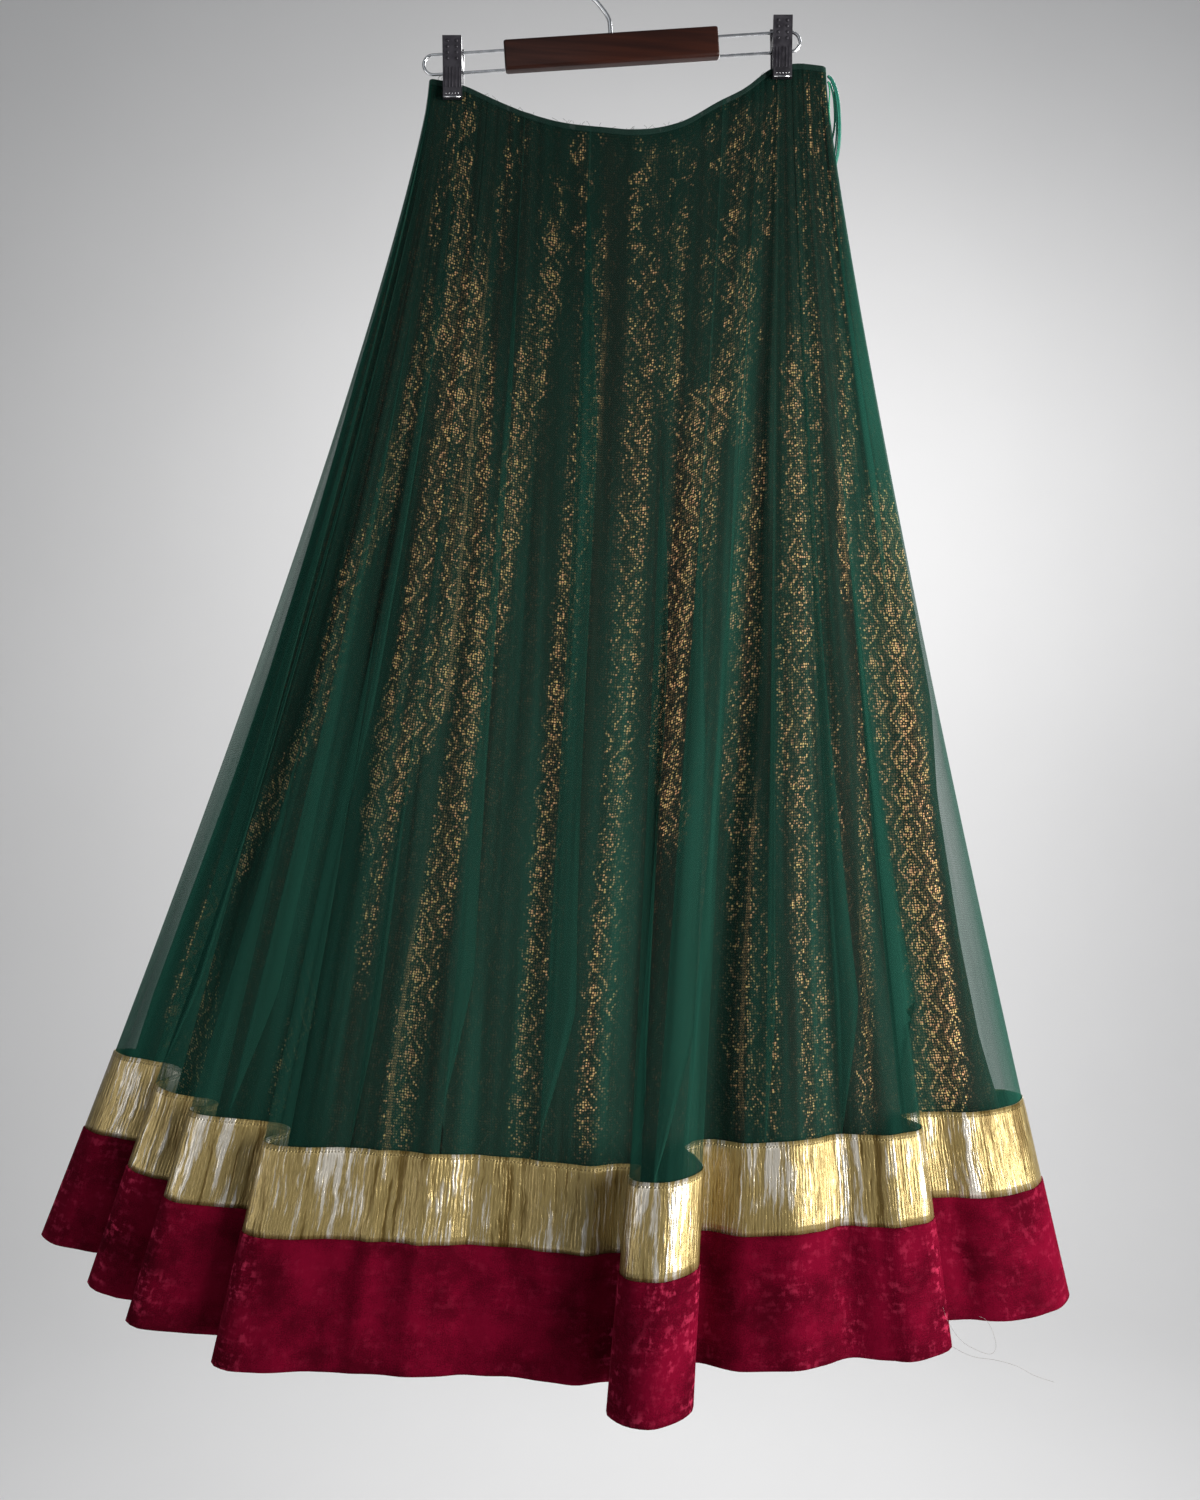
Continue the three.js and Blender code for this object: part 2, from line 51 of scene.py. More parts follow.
# Places down the skirt are shares of its length: 0 at the waist, 1 at the hem.
VELVET_TOP = 1 - VELVET_HEIGHT / SKIRT_LENGTH
GOLD_TOP = VELVET_TOP - GOLD_HEIGHT / SKIRT_LENGTH
BINDING = 5
GAP = 0.3
# How the lines from the waist to the hem bend outward, sideways and in depth.
FLARE_SIDE = 1.17
FLARE_DEPTH = 1.3
# The share of the way down over which a fold opens fully.
FOLD_GROWTH = 0.4
WAIST_LEFT, WAIST_RIGHT = -161.5, 202
WAIST_HALF = 4.3
WAIST_END_RADIUS = 5
LINING_INSET = 1.8
LINING_END = 4
FRONT, BACK = -1, 1
# How far the waist swells outward between the clips, and between which X.
SWELL = {FRONT: 9, BACK: 6}
SWELL_LEFT, SWELL_RIGHT = -125, 145

# Height of the waist's edge: x, front, back.
WAIST_EDGE = [
    (-161.5, -111, -111), (-127, -119, -118), (-106, -129, -126), (-75, -143, -138),
    (-42, -154, -149), (-3, -160, -155), (32, -162, -157), (70, -153, -149),
    (104, -133, -131), (128, -120, -119), (151, -103, -103), (171, -98, -98), (202, -100, -100),
]

# Hem rows: x, y, z at the hem, the waist's X that the row hangs from, and where its fold starts.
NET_FRONT = [
    (-521, 14, -1176, -161.5, 0.3), (-502, -8, -1178, -160.4, 0.45),
    (-472, -13, -1182, -159.2, 0.5), (-446, -11, -1187, -158.2, 0.5),
    (-435, -19, -1192, -157.2, 0.5), (-447, -28, -1196, -156.2, 0.5),
    (-460, -37, -1200, -155.2, 0.5), (-446, -46, -1206, -154, 0.5),
    (-418, -47, -1212, -152.4, 0.5), (-398, -45, -1215, -151.2, 0.48),
    (-387, -53, -1218, -150, 0.47), (-400, -62, -1218, -148.8, 0.46),
    (-414, -71, -1218, -147.4, 0.44), (-399, -80, -1222, -145.8, 0.42),
    (-352, -81, -1227, -142, 0.38), (-316, -77, -1232, -138.6, 0.34),
    (-303, -85, -1236, -136.4, 0.32), (-316, -94, -1239, -134, 0.3),
    (-330, -103, -1242, -131, 0.26), (-313, -112, -1245, -126, 0.22),
    (-240, -110, -1245, -108, 0.2), (-170, -117, -1246, -82, 0.2),
    (-90, -108, -1250, -36, 0.2), (-28, -112, -1255, 22, 0.15),
    (6, -104, -1257, 56, 0.1), (19, -112, -1258, 70, 0.06),
    (12, -130, -1258, 82, 0.05), (3, -153, -1260, 95, 0.05),
    (35, -176, -1260, 113, 0.05), (66, -153, -1257, 130, 0.05),
    (58, -126, -1252, 138, 0.05), (47, -107, -1249, 143, 0.05),
    (57, -93, -1248, 147, 0.05), (80, -92, -1247, 151, 0.05),
    (116, -106, -1247, 156.5, 0.08), (162, -113, -1243, 163, 0.08),
    (210, -91, -1242, 170, 0.08), (250, -104, -1241, 177, 0.1),
    (281, -95, -1238, 182, 0.16), (293, -83, -1236, 185, 0.2),
    (283, -70, -1234, 187.4, 0.22), (274, -57, -1233, 189.6, 0.24),
    (286, -45, -1233, 192, 0.26), (320, -39, -1233, 195, 0.26),
    (360, -43, -1232, 198, 0.28), (404, -28, -1229, 200.6, 0.3),
]
NET_BACK = [
    (424, 2, -1226, 202, 0.3), (400, 34, -1228, 200, 0.3), (342, 30, -1230, 191, 0.25),
    (282, 63, -1232, 166, 0.2), (217, 44, -1234, 140, 0.15), (142, 78, -1238, 105, 0.15),
    (67, 52, -1242, 70, 0.1), (-13, 85, -1243, 30, 0.1), (-93, 54, -1240, -10, 0.1),
    (-178, 80, -1236, -55, 0.15), (-263, 46, -1228, -95, 0.2), (-343, 66, -1216, -130, 0.25),
    (-420, 34, -1198, -148, 0.3), (-480, 40, -1184, -158, 0.3),
]
LINING_FRONT = [
    (-496, 16, -1162, -157.5, 0), (-478, 1, -1166, -156.8, 0), (-442, -2, -1176, -155.4, 0),
    (-398, -34, -1198, -149.6, 0), (-360, -42, -1212, -143.5, 0), (-312, -67, -1220, -136.8, 0),
    (-270, -101, -1229, -116, 0), (-240, -103, -1230, -108, 0), (-170, -110, -1232, -82, 0),
    (-90, -101, -1236, -36, 0), (-28, -104, -1240, 22, 0), (14, -95, -1240, 64, 0),
    (47, -88, -1236, 138, 0), (80, -84, -1233, 151, 0), (116, -98, -1233, 156.5, 0),
    (162, -105, -1229, 163, 0), (208, -84, -1228, 169.6, 0), (238, -85, -1226, 175.2, 0),
    (274, -44, -1220, 188, 0), (306, -30, -1219, 192, 0), (352, -31, -1218, 195, 0),
    (386, -17, -1216, 197, 0),
]
LINING_BACK = [
    (402, 2, -1212, 198, 0), (378, 21, -1214, 195, 0), (300, 30, -1217, 172, 0),
    (217, 38, -1220, 140, 0), (67, 46, -1228, 70, 0), (-93, 48, -1226, -10, 0),
    (-263, 40, -1214, -95, 0), (-380, 30, -1196, -138, 0), (-450, 27, -1176, -152, 0),
]


def hermite(knots, values, slopes, at):
    """Values of a smooth curve through (knots, values) at the places in at."""
    i = np.clip(np.searchsorted(knots, at, side="right") - 1, 0, len(knots) - 2)
    h = knots[i + 1] - knots[i]
    s = (at - knots[i]) / h
    return (
        values[i] * (2 * s**3 - 3 * s**2 + 1)
        + h * slopes[i] * (s**3 - 2 * s**2 + s)
        + values[i + 1] * (3 * s**2 - 2 * s**3)
        + h * slopes[i + 1] * (s**3 - s**2)
    )


def waist_edge_z(x, side):
    """The height of the waist's edge on that side, in millimetres."""
    table = np.array(WAIST_EDGE, float)
    values = table[:, 1 if side == FRONT else 2]
    return hermite(table[:, 0], values, np.gradient(values, table[:, 0]), x)


def waist_points(x, side, inset, end):
    """The waist's oval: x, y and z of the top of the cloth, side by side."""
    from_end = np.clip(np.minimum(x - WAIST_LEFT - end, WAIST_RIGHT - end - x), 0, None)
    closing = np.sqrt(1 - (1 - np.minimum(1, from_end / WAIST_END_RADIUS)) ** 2)
    between = np.clip((x - SWELL_LEFT) / (SWELL_RIGHT - SWELL_LEFT), 0, 1)
    y = np.zeros_like(x)
    z = np.zeros_like(x)
    for face in (FRONT, BACK):
        here = side == face
        half = WAIST_HALF - inset + SWELL[face] * np.sin(np.pi * between) ** 2
        y = np.where(here, face * half * closing, y)
        z = np.where(here, waist_edge_z(x, face) - BINDING - GAP - inset, z)
    return x, y, z


# A fold's tip turns by this angle, in radians, over this far to each side, in metres.
FOLD_TIP = 1.6
TURN_REACH = 0.014


class Ring:
    """The closed curve of a garment's hem, and the straight lines from the waist down to it."""

    def __init__(self, front, back):
        rows = np.array(front + back, float)
        step = np.roll(rows, -1, 0) - rows
        chord = np.hypot(step[:, 0], step[:, 1])
        slopes = (np.roll(rows, -1, 0) - np.roll(rows, 1, 0)) / (chord + np.roll(chord, 1))[:, None]
        mean_y = sum(np.roll(rows[:, 1], shift) for shift in range(-2, 3)) / 5
        knots = np.concatenate([[0], np.cumsum(chord)])
        rows, slopes, mean_y = (np.concatenate([a, a[:1]]) for a in (rows, slopes, mean_y))
        self.length = knots[-1]
        self.seam = knots[len(front)]
        self.arcs = np.append(np.arange(0, self.length, 1.0), self.length)
        x, y, z = (hermite(knots, rows[:, k], slopes[:, k], self.arcs) for k in range(3))
        waist, start = (np.interp(self.arcs, knots, rows[:, k]) for k in (3, 4))
        flat_y = np.interp(self.arcs, knots, mean_y)
        flat_x = np.empty_like(x)
        is_front = self.arcs < self.seam
        for panel in (np.flatnonzero(is_front), np.flatnonzero(~is_front)[::-1]):
            reached = np.maximum.accumulate(x[panel])
            coming = np.minimum.accumulate(x[panel][::-1])[::-1]
            flat_x[panel] = (reached + coming) / 2
        self.table = [x, y, z, waist, start, flat_x, flat_y]

    def span(self, side):
        """The hem arcs in metres where a side's panel starts and ends."""
        first, last = (0, self.seam) if side == FRONT else (self.seam, self.length)
        return first * MM, last * MM

    def place(self, arc, t, inset=0, end=0):
        """Points in metres, for arcs along the hem in metres and shares of the way down."""
        arc = np.mod(arc / MM, self.length)
        x, y, z, waist, start, flat_x, flat_y = (
            np.interp(arc, self.arcs, column) for column in self.table
        )
        side = np.where(arc < self.seam, FRONT, BACK)
        top_x, top_y, top_z = waist_points(waist, side, inset, end)
        s = np.clip((t - start) / FOLD_GROWTH, 0, 1)
        fold = np.where(start > 0, s * s * (3 - 2 * s), 1)
        hem_x = flat_x + (x - flat_x) * fold
        hem_y = flat_y + (y - flat_y) * fold
        point = (
            top_x + (hem_x - top_x) * t**FLARE_SIDE,
            top_y + (hem_y - top_y) * t**FLARE_DEPTH,
            top_z + (z - top_z) * t,
        )
        return np.stack(np.broadcast_arrays(*point), -1) * MM

    def edges(self, t, inset=0, end=0):
        """The X of the left and right end of each row, in metres."""
        ends = (0, self.seam * MM)
        return [self.place(np.array([[arc]]), t, inset, end)[..., 0] for arc in ends]

    def rows(self, arc, t, inset=0, end=0, reach=0.002):
        """Points, and the level directions that point out of the skirt."""
        before = self.place(arc - reach, t, inset, end)
        after = self.place(arc + reach, t, inset, end)
        along = after - before
        along /= np.maximum(np.hypot(along[..., 0], along[..., 1]), 1e-9)[..., None]
        out = np.stack([along[..., 1], -along[..., 0], np.zeros(along.shape[:-1])], -1)
        return self.place(arc, t, inset, end), out

    def spread(self, arc, t, reach=0.002):
        """How far the cloth is spread out there: 1 at the hem, less where it is gathered."""
        along = self.place(arc + reach, t) - self.place(arc - reach, t)
        return np.hypot(along[..., 0], along[..., 1]) / (2 * reach)

    def turning(self, arc, t):
        """How sharply the cloth turns there, from 0 where it is flat to 1 at a fold's tip."""
        _, before = self.rows(arc - TURN_REACH, t)
        _, after = self.rows(arc + TURN_REACH, t)
        cosine = np.clip((before * after).sum(-1), -1, 1)
        return np.clip(np.arccos(cosine) / FOLD_TIP, 0, 1)


def even_arcs(ring, side, spacing):
    """Arcs along a side's hem at about that spacing, in metres."""
    first, last = ring.span(side)
    return np.linspace(first, last, math.ceil((last - first) / spacing) + 1)


NET = Ring(NET_FRONT, NET_BACK)
LINING = Ring(LINING_FRONT, LINING_BACK)


# ---- small forms that the hanging cloth takes ----

# Soft ripples down the cloth: wavelength at the hem in metres, depth in millimetres, phase.
NET_RIPPLES = [(0.061, 0.9, 0.4), (0.037, 0.45, 2.1), (0.103, 1.3, 4.0), (0.023, 0.15, 1.3)]
LINING_RIPPLES = [(0.058, 0.9, 1.0), (0.036, 0.6, 3.2)]
# The lining lies this far behind its section, in millimetres.
LINING_BEHIND = 0.8

# Gathers just under the waist, which die out down the cloth.
GATHERS = [(0.0270, 0.50, 0.7), (0.0171, 0.32, 2.6)]
GATHER_REACH = 0.10

# The shares of the way down over which creases, pleats and crowded threads come and go.
CREASE_OPENS, CREASE_CLOSES = 0.12, 0.04
PLEAT_OPENS, PLEAT_CLOSES = 0.22, 0.10
CROWD_FADE = 0.15

# Creases, ridges out and troughs in: the arc along the hem in metres, the shares of
# the way down between which it runs, its half width at the hem and its depth in millimetres.
NET_CREASES = [
    (0.505, 0.30, 0.97, 9, 3.0), (0.555, 0.45, 0.93, 7, 2.2), (0.60, 0.22, 0.99, 11, -2.6),
    (0.655, 0.38, 0.90, 8, 2.4), (0.70, 0.15, 0.97, 10, 2.8), (0.745, 0.50, 1.00, 8, -2.0),
    (0.80, 0.28, 0.92, 9, 2.6), (0.93, 0.40, 1.00, 8, 2.2), (1.07, 0.30, 0.98, 9, 2.4),
    (1.125, 0.52, 1.00, 8, -2.2), (1.17, 0.25, 0.93, 9, 2.8), (1.22, 0.42, 1.00, 7, 2.0),
    (1.42, 0.35, 1.00, 8, 2.2), (1.47, 0.55, 0.96, 7, -1.8), (0.33, 0.60, 1.00, 7, 1.8),
    (0.16, 0.66, 1.00, 6, 1.6), (1.70, 0.3, 0.98, 10, 2.4), (1.83, 0.45, 1.00, 9, -2.0),
    (1.96, 0.25, 0.95, 10, 2.6), (2.10, 0.5, 1.00, 9, 2.0), (2.24, 0.35, 0.97, 10, -2.2),
    (2.37, 0.4, 1.00, 9, 2.4),
    (0.20, -0.12, 0.22, 22, 1.4), (0.33, -0.12, 0.30, 26, 1.6), (0.40, -0.12, 0.16, 18, -0.8),
    (0.47, -0.12, 0.24, 20, 1.3), (0.58, -0.12, 0.14, 18, 1.2), (0.70, -0.12, 0.20, 22, 1.5),
    (0.86, -0.12, 0.16, 18, 1.3), (0.93, -0.12, 0.26, 20, -0.8), (1.00, -0.12, 0.34, 22, 1.9),
    (1.07, -0.12, 0.42, 24, 2.2), (1.12, -0.12, 0.24, 16, -0.9), (1.16, -0.12, 0.36, 20, 2.0),
    (1.25, -0.12, 0.20, 20, 1.4), (1.70, -0.12, 0.30, 24, 1.8), (1.92, -0.12, 0.24, 22, 1.5),
    (2.12, -0.12, 0.34, 24, 2.0), (2.28, -0.12, 0.22, 22, 1.4),
]

# Pleats where the net lies over itself: the arc along the hem in metres, the shares of the
# way down where it opens and closes, its width in millimetres, and the side of its crisp
# edge, 1 for the one further round the hem.
NET_PLEATS = [
    (0.062, 0.05, 0.86, 46, 1), (0.130, 0.10, 0.85, 26, 1), (0.285, 0.12, 0.84, 24, -1),
    (0.405, 0.04, 0.60, 14, -1), (0.478, 0.02, 0.84, 9, -1), (0.565, 0.04, 0.80, 24, 1),
    (0.655, 0.02, 0.82, 40, 1), (0.735, 0.28, 0.84, 46, -1), (0.815, 0.30, 0.84, 34, 1),
    (0.905, 0.02, 0.80, 34, 1), (1.010, 0.30, 0.84, 10, 1), (1.096, 0.06, 0.84, 30, -1),
    (1.205, 0.25, 0.85, 58, 1), (1.300, 0.02, 0.44, 58, 1),
    (1.440, 0.05, 0.86, 40, -1), (1.545, 0.10, 0.85, 13, 1), (1.640, 0.05, 0.84, 42, -1),
    (1.720, 0.02, 0.83, 10, 1), (1.800, 0.05, 0.84, 36, 1), (1.890, 0.12, 0.80, 14, -1),
    (1.960, 0.08, 0.84, 44, -1), (2.060, 0.02, 0.84, 12, 1), (2.130, 0.25, 0.82, 34, 1),
    (2.225, 0.03, 0.84, 40, -1), (2.320, 0.10, 0.84, 40, 1),
]
PLEAT_STEPS = 3
LAYER = 0.7
LEAST_PLEAT = 0.3 * MM
# From this width on a pleat lies at its full height, and beside it the net comes down over this far.
FULL_PLEAT = 2 * MM
PLEAT_SLOPE = 18 * MM

# Where the net's threads crowd together: the arc along the hem in metres, the shares of the way
# down between which they do, the half width in millimetres and the strength.
CROWDS = [
    (0.00, -0.2, 1.2, 60, 1.0), (1.393, -0.2, 0.50, 35, 0.9),
    (1.393, 0.40, 1.2, 48, 0.8), (2.416, -0.2, 1.2, 60, 1.0),
    (1.34, 0.10, 0.44, 40, 0.8), (1.235, 0.30, 0.98, 26, 0.5), (1.308, 0.38, 0.98, 20, -1.0),
    (1.175, 0.30, 0.80, 18, -0.5), (0.94, 0.05, 0.60, 16, 0.3), (0.78, 0.45, 1.1, 45, 0.4),
    (0.05, 0.10, 0.90, 22, 0.12), (0.13, 0.15, 0.80, 14, 0.12), (0.30, 0.40, 0.95, 14, 0.1),
    (0.45, 0.10, 0.60, 30, -0.4), (0.35, 0.10, 0.60, 20, -0.3),
    (1.66, 0.1, 0.9, 25, 0.4), (1.98, 0.1, 0.9, 25, 0.4), (2.24, 0.1, 0.9, 25, 0.4),
]

# Painted zari glints in bands down the lining's front: half width in millimetres, strength, and
# the places in X and Z, in millimetres, that the band runs through. Past its ends a band fades.
GLINT_FADE = 70
GLINTS = [
    (5, 0.6, [(-136, -134), (-142, -187), (-154, -232)]),
    (8, 0.9, [(-158, -346), (-186, -447), (-205, -514), (-232, -566), (-249, -643),
              (-264, -701), (-288, -740), (-309, -784), (-358, -868), (-383, -928), (-395, -970)]),
    (7, 1.3, [(-130, -148), (-132, -242), (-137, -293), (-142, -410), (-155, -502),
              (-167, -573), (-180, -648), (-189, -678), (-200, -718)]),
    (12, 1.4, [(-123, -306), (-119, -394), (-120, -474), (-128, -538), (-132, -593),
               (-151, -671), (-172, -721), (-199, -776)]),
    (10, 1.2, [(-46, -261), (-59, -345), (-73, -414), (-83, -498), (-95, -557), (-108, -629),
               (-127, -736), (-145, -841), (-163, -936), (-179, -1037)]),
    (9, 0.6, [(-14, -157), (-22, -190), (-28, -223)]),
    (7, 0.35, [(-78, -157), (-91, -208), (-98, -247)]),
    (8, 0.5, [(-265, -961), (-280, -996), (-290, -1029)]),
    (11, 0.8, [(-366, -961), (-373, -995), (-376, -1033)]),
    (7, 0.4, [(-203, -850), (-211, -893)]),
    (9, 0.55, [(-9, -279), (-16, -428), (-30, -557), (-41, -683), (-54, -815), (-72, -1045)]),
    (10, 0.5, [(36, -204), (31, -410), (22, -593), (9, -771), (-7, -944), (-16, -1037)]),
    (7, 0.6, [(70, -176), (64, -279), (57, -391)]),
    (9, 0.7, [(113, -148), (109, -176)]),
    (6, 0.6, [(127, -190), (117, -228), (112, -256)]),
    (5, 0.5, [(101, -270), (93, -303)]),
    (8, 0.6, [(119, -298), (121, -345), (117, -410)]),
    (6, 0.6, [(144, -214), (145, -253), (130, -281), (135, -317)]),
    (4, 1.0, [(101, -396), (94, -460), (89, -515)]),
    (9, 1.0, [(81, -437), (77, -502), (69, -561), (65, -622), (56, -676), (53, -731), (59, -771)]),
    (7, 0.5, [(167, -396), (168, -474), (163, -593), (161, -683), (159, -745)]),
    (11, 0.38, [(182, -349), (180, -427), (181, -575), (175, -665), (172, -746), (174, -824),
               (173, -884), (182, -944), (183, -1037)]),
    (5, 0.8, [(216, -470), (216, -552)]),
    (4, 1.0, [(219, -382), (225, -439)]),
    (15, 2.4, [(253, -534), (260, -593), (263, -665), (270, -727), (276, -797), (284, -867),
               (294, -931), (300, -987), (302, -1029)]),
    (6, 0.35, [(235, -593), (235, -736), (233, -884), (232, -961), (226, -1020)]),
    (13, 0.32, [(117, -754), (125, -841), (124, -910), (118, -969), (122, -1016)]),
    (5, 0.5, [(144, -936), (141, -1033)]),
    (9, 0.35, [(129, -593), (129, -647), (112, -736)]),
    (7, 0.6, [(137, -474), (128, -538), (120, -611)]),
    (4, 0.3, [(203, -714), (206, -802)]),
    (7, 0.5, [(193, -122), (196, -176), (204, -228)]),
    (7, 0.5, [(152, -134), (149, -195)]),
    (5, 0.35, [(178, -176), (181, -270), (182, -349)]),
    (5, 0.35, [(209, -251), (214, -317), (218, -373)]),
]


def ripple(arc, t, ripples):
    """How far out the cloth stands, in metres, from ripples that grow down the skirt."""
    out = 0
    for wavelength, depth, phase in ripples:
        wander = 0.5 * np.sin(3.1 * t + 5 * phase + 9 * arc)
        uneven = 0.65 + 0.35 * np.sin(arc * 11.3 + 2 * phase + 2.2 * t)
        out = out + depth * uneven * np.sin(2 * np.pi * arc / wavelength + phase + wander)
    return out * MM * (0.12 + 0.88 * t**1.1)


def gathers(arc, t):
    """How far out the gathers under the waist stand, in metres."""
    out = 0
    for wavelength, depth, phase in GATHERS:
        uneven = 0.7 + 0.3 * np.sin(arc * 23.0 + phase)
        out = out + depth * uneven * np.sin(2 * np.pi * arc / wavelength + phase)
    return out * MM * np.exp(-t / GATHER_REACH)


def creases(arc, t):
    """How far out the net's creases stand, in metres."""
    out = 0
    for place, top, bottom, half_width, depth in NET_CREASES:
        width = half_width * MM * (0.45 + 0.55 * t)
        wander = 4 * MM * np.sin(7 * t + 40 * place)
        along = np.clip((t - top) / CREASE_OPENS, 0, 1)
        along = along * np.clip((bottom - t) / CREASE_CLOSES + 1, 0, 1)
        out = out + depth * MM * along * np.exp(-(((arc - place - wander) / width) ** 2))
    return out


def net_form(arc, t):
    """How far out the net stands from its section, in metres."""
    return ripple(arc, t, NET_RIPPLES) + creases(arc, t) + gathers(arc, t)


def lining_form(arc, t):
    """How far out the lining stands from its section, in metres."""
    return ripple(arc, t, LINING_RIPPLES) - LINING_BEHIND * MM


def pleat_size(pleat, t):
    """A pleat's width in metres at each share of the way down, and how high it lies, 0 to 1."""
    arc, opens, closes, full_width, _ = pleat
    along = np.clip((t - opens) / PLEAT_OPENS, 0, 1) * np.clip((closes - t) / PLEAT_CLOSES, 0, 1)
    uneven = 1 + 0.25 * np.sin(5.3 * t + 60 * arc)
    width = np.maximum(LEAST_PLEAT, full_width * MM * along * uneven * (0.25 + 0.75 * t))
    return width, np.clip(width / FULL_PLEAT, 0, 1)


def pleat_lift(pleat, arc, t):
    """How far out a pleat's crisp edge raises the net beside it, in metres."""
    place, _, _, _, side = pleat
    width, height = pleat_size(pleat, t)
    away = (place - arc if side > 0 else arc - place - width) / PLEAT_SLOPE
    on_top = arc <= place if side > 0 else arc > place
    return 2 * LAYER * MM * np.clip(1 - away, 0, 1) * on_top * height


def pleated(side, t, spacing):
    """Arcs for each row and column of the pleated net, how far out its layers lie, and the
    cloth's own coordinate, all in metres."""
    first, last = NET.span(side)
    arcs, lifts, cloth = [], [], []
    base = even_arcs(NET, side, spacing)
    here = [pleat for pleat in NET_PLEATS if first < pleat[0] < last]
    bounds = [first, *[pleat[0] for pleat in here], last + 1]
    run = 0.0
    for low, high, pleat in zip(bounds, bounds[1:], [*here, None]):
        for arc in base[(base >= low) & (base < high)]:
            arcs.append(arc + 0 * t)
            lifts.append(np.maximum.reduce([0 * t, *[pleat_lift(p, arc, t) for p in here]]))
            cloth.append(arc + run)
        if pleat is None:
            break
        # The pleat's two hidden legs: one forward, and one back underneath or on top.
        width, height = pleat_size(pleat, t)
        full = pleat[3] * MM
        forth, back = (2, 1) if pleat[4] > 0 else (0, 1)
        legs = [(j / PLEAT_STEPS, forth) for j in range(1, PLEAT_STEPS + 1)]
        legs += [(1 - j / PLEAT_STEPS, back) for j in range(1, PLEAT_STEPS + 1)]
        for j, (share, level) in enumerate(legs):
            arcs.append(pleat[0] + share * width)
            lifts.append(level * LAYER * MM * height)
            cloth.append(pleat[0] + run + (j + 1) / PLEAT_STEPS * full)
        run += 2 * full
    return np.concatenate(arcs, 1), np.concatenate(lifts, 1), np.array(cloth)


def crowding(arcs, t):
    """How closely the net's threads crowd together, or below 0 how far they spread."""
    total = 0 * arcs * t
    for place, top, bottom, half_width, strength in CROWDS:
        along = np.clip((t - top) / CROWD_FADE, 0, 1) * np.clip((bottom - t) / CROWD_FADE, 0, 1)
        total = total + strength * along * np.exp(-(((arcs - place) / (half_width * MM)) ** 2))
    return np.clip(total, -1, 1)


def glint(points):
    """How much painted glint the zari has at each point, from the bands; the back has the front's,
    mirrored.
    """
    x = points[..., 0] / MM
    z = points[..., 2] / MM
    total = 0
    for half_width, strength, places in GLINTS:
        path_x, path_z = np.array(places[::-1], float).T
        centre = np.interp(z, path_z, path_x)
        above = np.clip((z - path_z[0]) / GLINT_FADE + 1, 0, 1)
        below = np.clip((path_z[-1] - z) / GLINT_FADE + 1, 0, 1)
        fade = above**2 * below**2
        total = total + strength * fade * np.exp(-(((x - centre) / (1.2 * half_width)) ** 4))
    return total


# ---- meshes ----


def mesh_object(name, vertices, faces, uvs=None, smooth=True):
    """An object of quads and triangles; uvs maps a layer's name to a pair for each vertex."""
    mesh = bpy.data.meshes.new(name)
    mesh.from_pydata(np.asarray(vertices).tolist(), [], [list(map(int, f)) for f in faces])
    loops = np.empty(len(mesh.loops), dtype=np.int32)
    mesh.loops.foreach_get("vertex_index", loops)
    for layer, pairs in (uvs or {}).items():
        mesh.uv_layers.new(name=layer).data.foreach_set("uv", pairs[loops].ravel())
    mesh.polygons.foreach_set("use_smooth", np.full(len(mesh.polygons), smooth))
    mesh.update()
    obj = bpy.data.objects.new(name, mesh)
    bpy.context.scene.collection.objects.link(obj)
    return obj


def grid_faces(rows, columns, first=0, flip=False):
    """The quads of a grid of points."""
    r, c = np.meshgrid(np.arange(rows - 1), np.arange(columns - 1), indexing="ij")
    a = (first + r * columns + c).ravel()
    quads = np.stack([a, a + columns, a + columns + 1, a + 1], -1)
    return quads[:, ::-1] if flip else quads


def ring_faces(rings, count, closed=True):
    """Quads between rings of points, or between open rows of them."""
    return [
        (r * count + k, r * count + (k + 1) % count, (r + 1) * count + (k + 1) % count, (r + 1) * count + k)
        for r in range(rings - 1) for k in range(count if closed else count - 1)
    ]


def end_faces(rings, count):
    """The flat faces that close the first and the last ring."""
    last = (rings - 1) * count
    return [tuple(range(count))[::-1], tuple(range(last, last + count))]


def rim_faces(rows, columns):
    """The faces that close a wall's outer grid to the inner grid that follows it."""
    size = rows * columns
    top = np.arange(columns)
    bottom = size - columns + top
    left = np.arange(rows) * columns
    right = left + columns - 1
    faces = []
    for edge, flip in ((top, False), (bottom, True), (left, True), (right, False)):
        a, b = edge[:-1], edge[1:]
        quads = np.stack([a, b, b + size, a + size], -1)
        faces.append(quads[:, ::-1] if flip else quads)
    return np.vstack(faces)


def sheet_object(name, points, uvs):
    """A cloth of one surface."""
    rows, columns = points.shape[:2]
    flat = {layer: pairs.reshape(-1, 2) for layer, pairs in uvs.items()}
    return mesh_object(name, points.reshape(-1, 3), grid_faces(rows, columns), flat)


def wall_object(name, points, out, wall, uvs):
    """A closed wall between wall's two places, in millimetres outward from points."""
    near, far = wall
    rows, columns = points.shape[:2]
    outer = (points + out * far * MM).reshape(-1, 3)
    inner = (points + out * near * MM).reshape(-1, 3)
    faces = [
        grid_faces(rows, columns),
        grid_faces(rows, columns, rows * columns, flip=True),
        rim_faces(rows, columns),
    ]
    flat = {layer: np.tile(pairs.reshape(-1, 2), (2, 1)) for layer, pairs in uvs.items()}
    return mesh_object(name, np.vstack([outer, inner]), np.vstack(faces), flat)


# ---- materials ----

NET_PITCH = 1.6 * MM
MOTIF_WIDTH = 24 * MM
MOTIF_HEIGHT = 34 * MM
DOT_PITCH = 2.3 * MM
WEFT_PITCH = 2.2 * MM
RIB_PITCH = 3 * MM
STITCH_PITCH = 3.2 * MM
STITCH_FROM_EDGE = 3.5 * MM


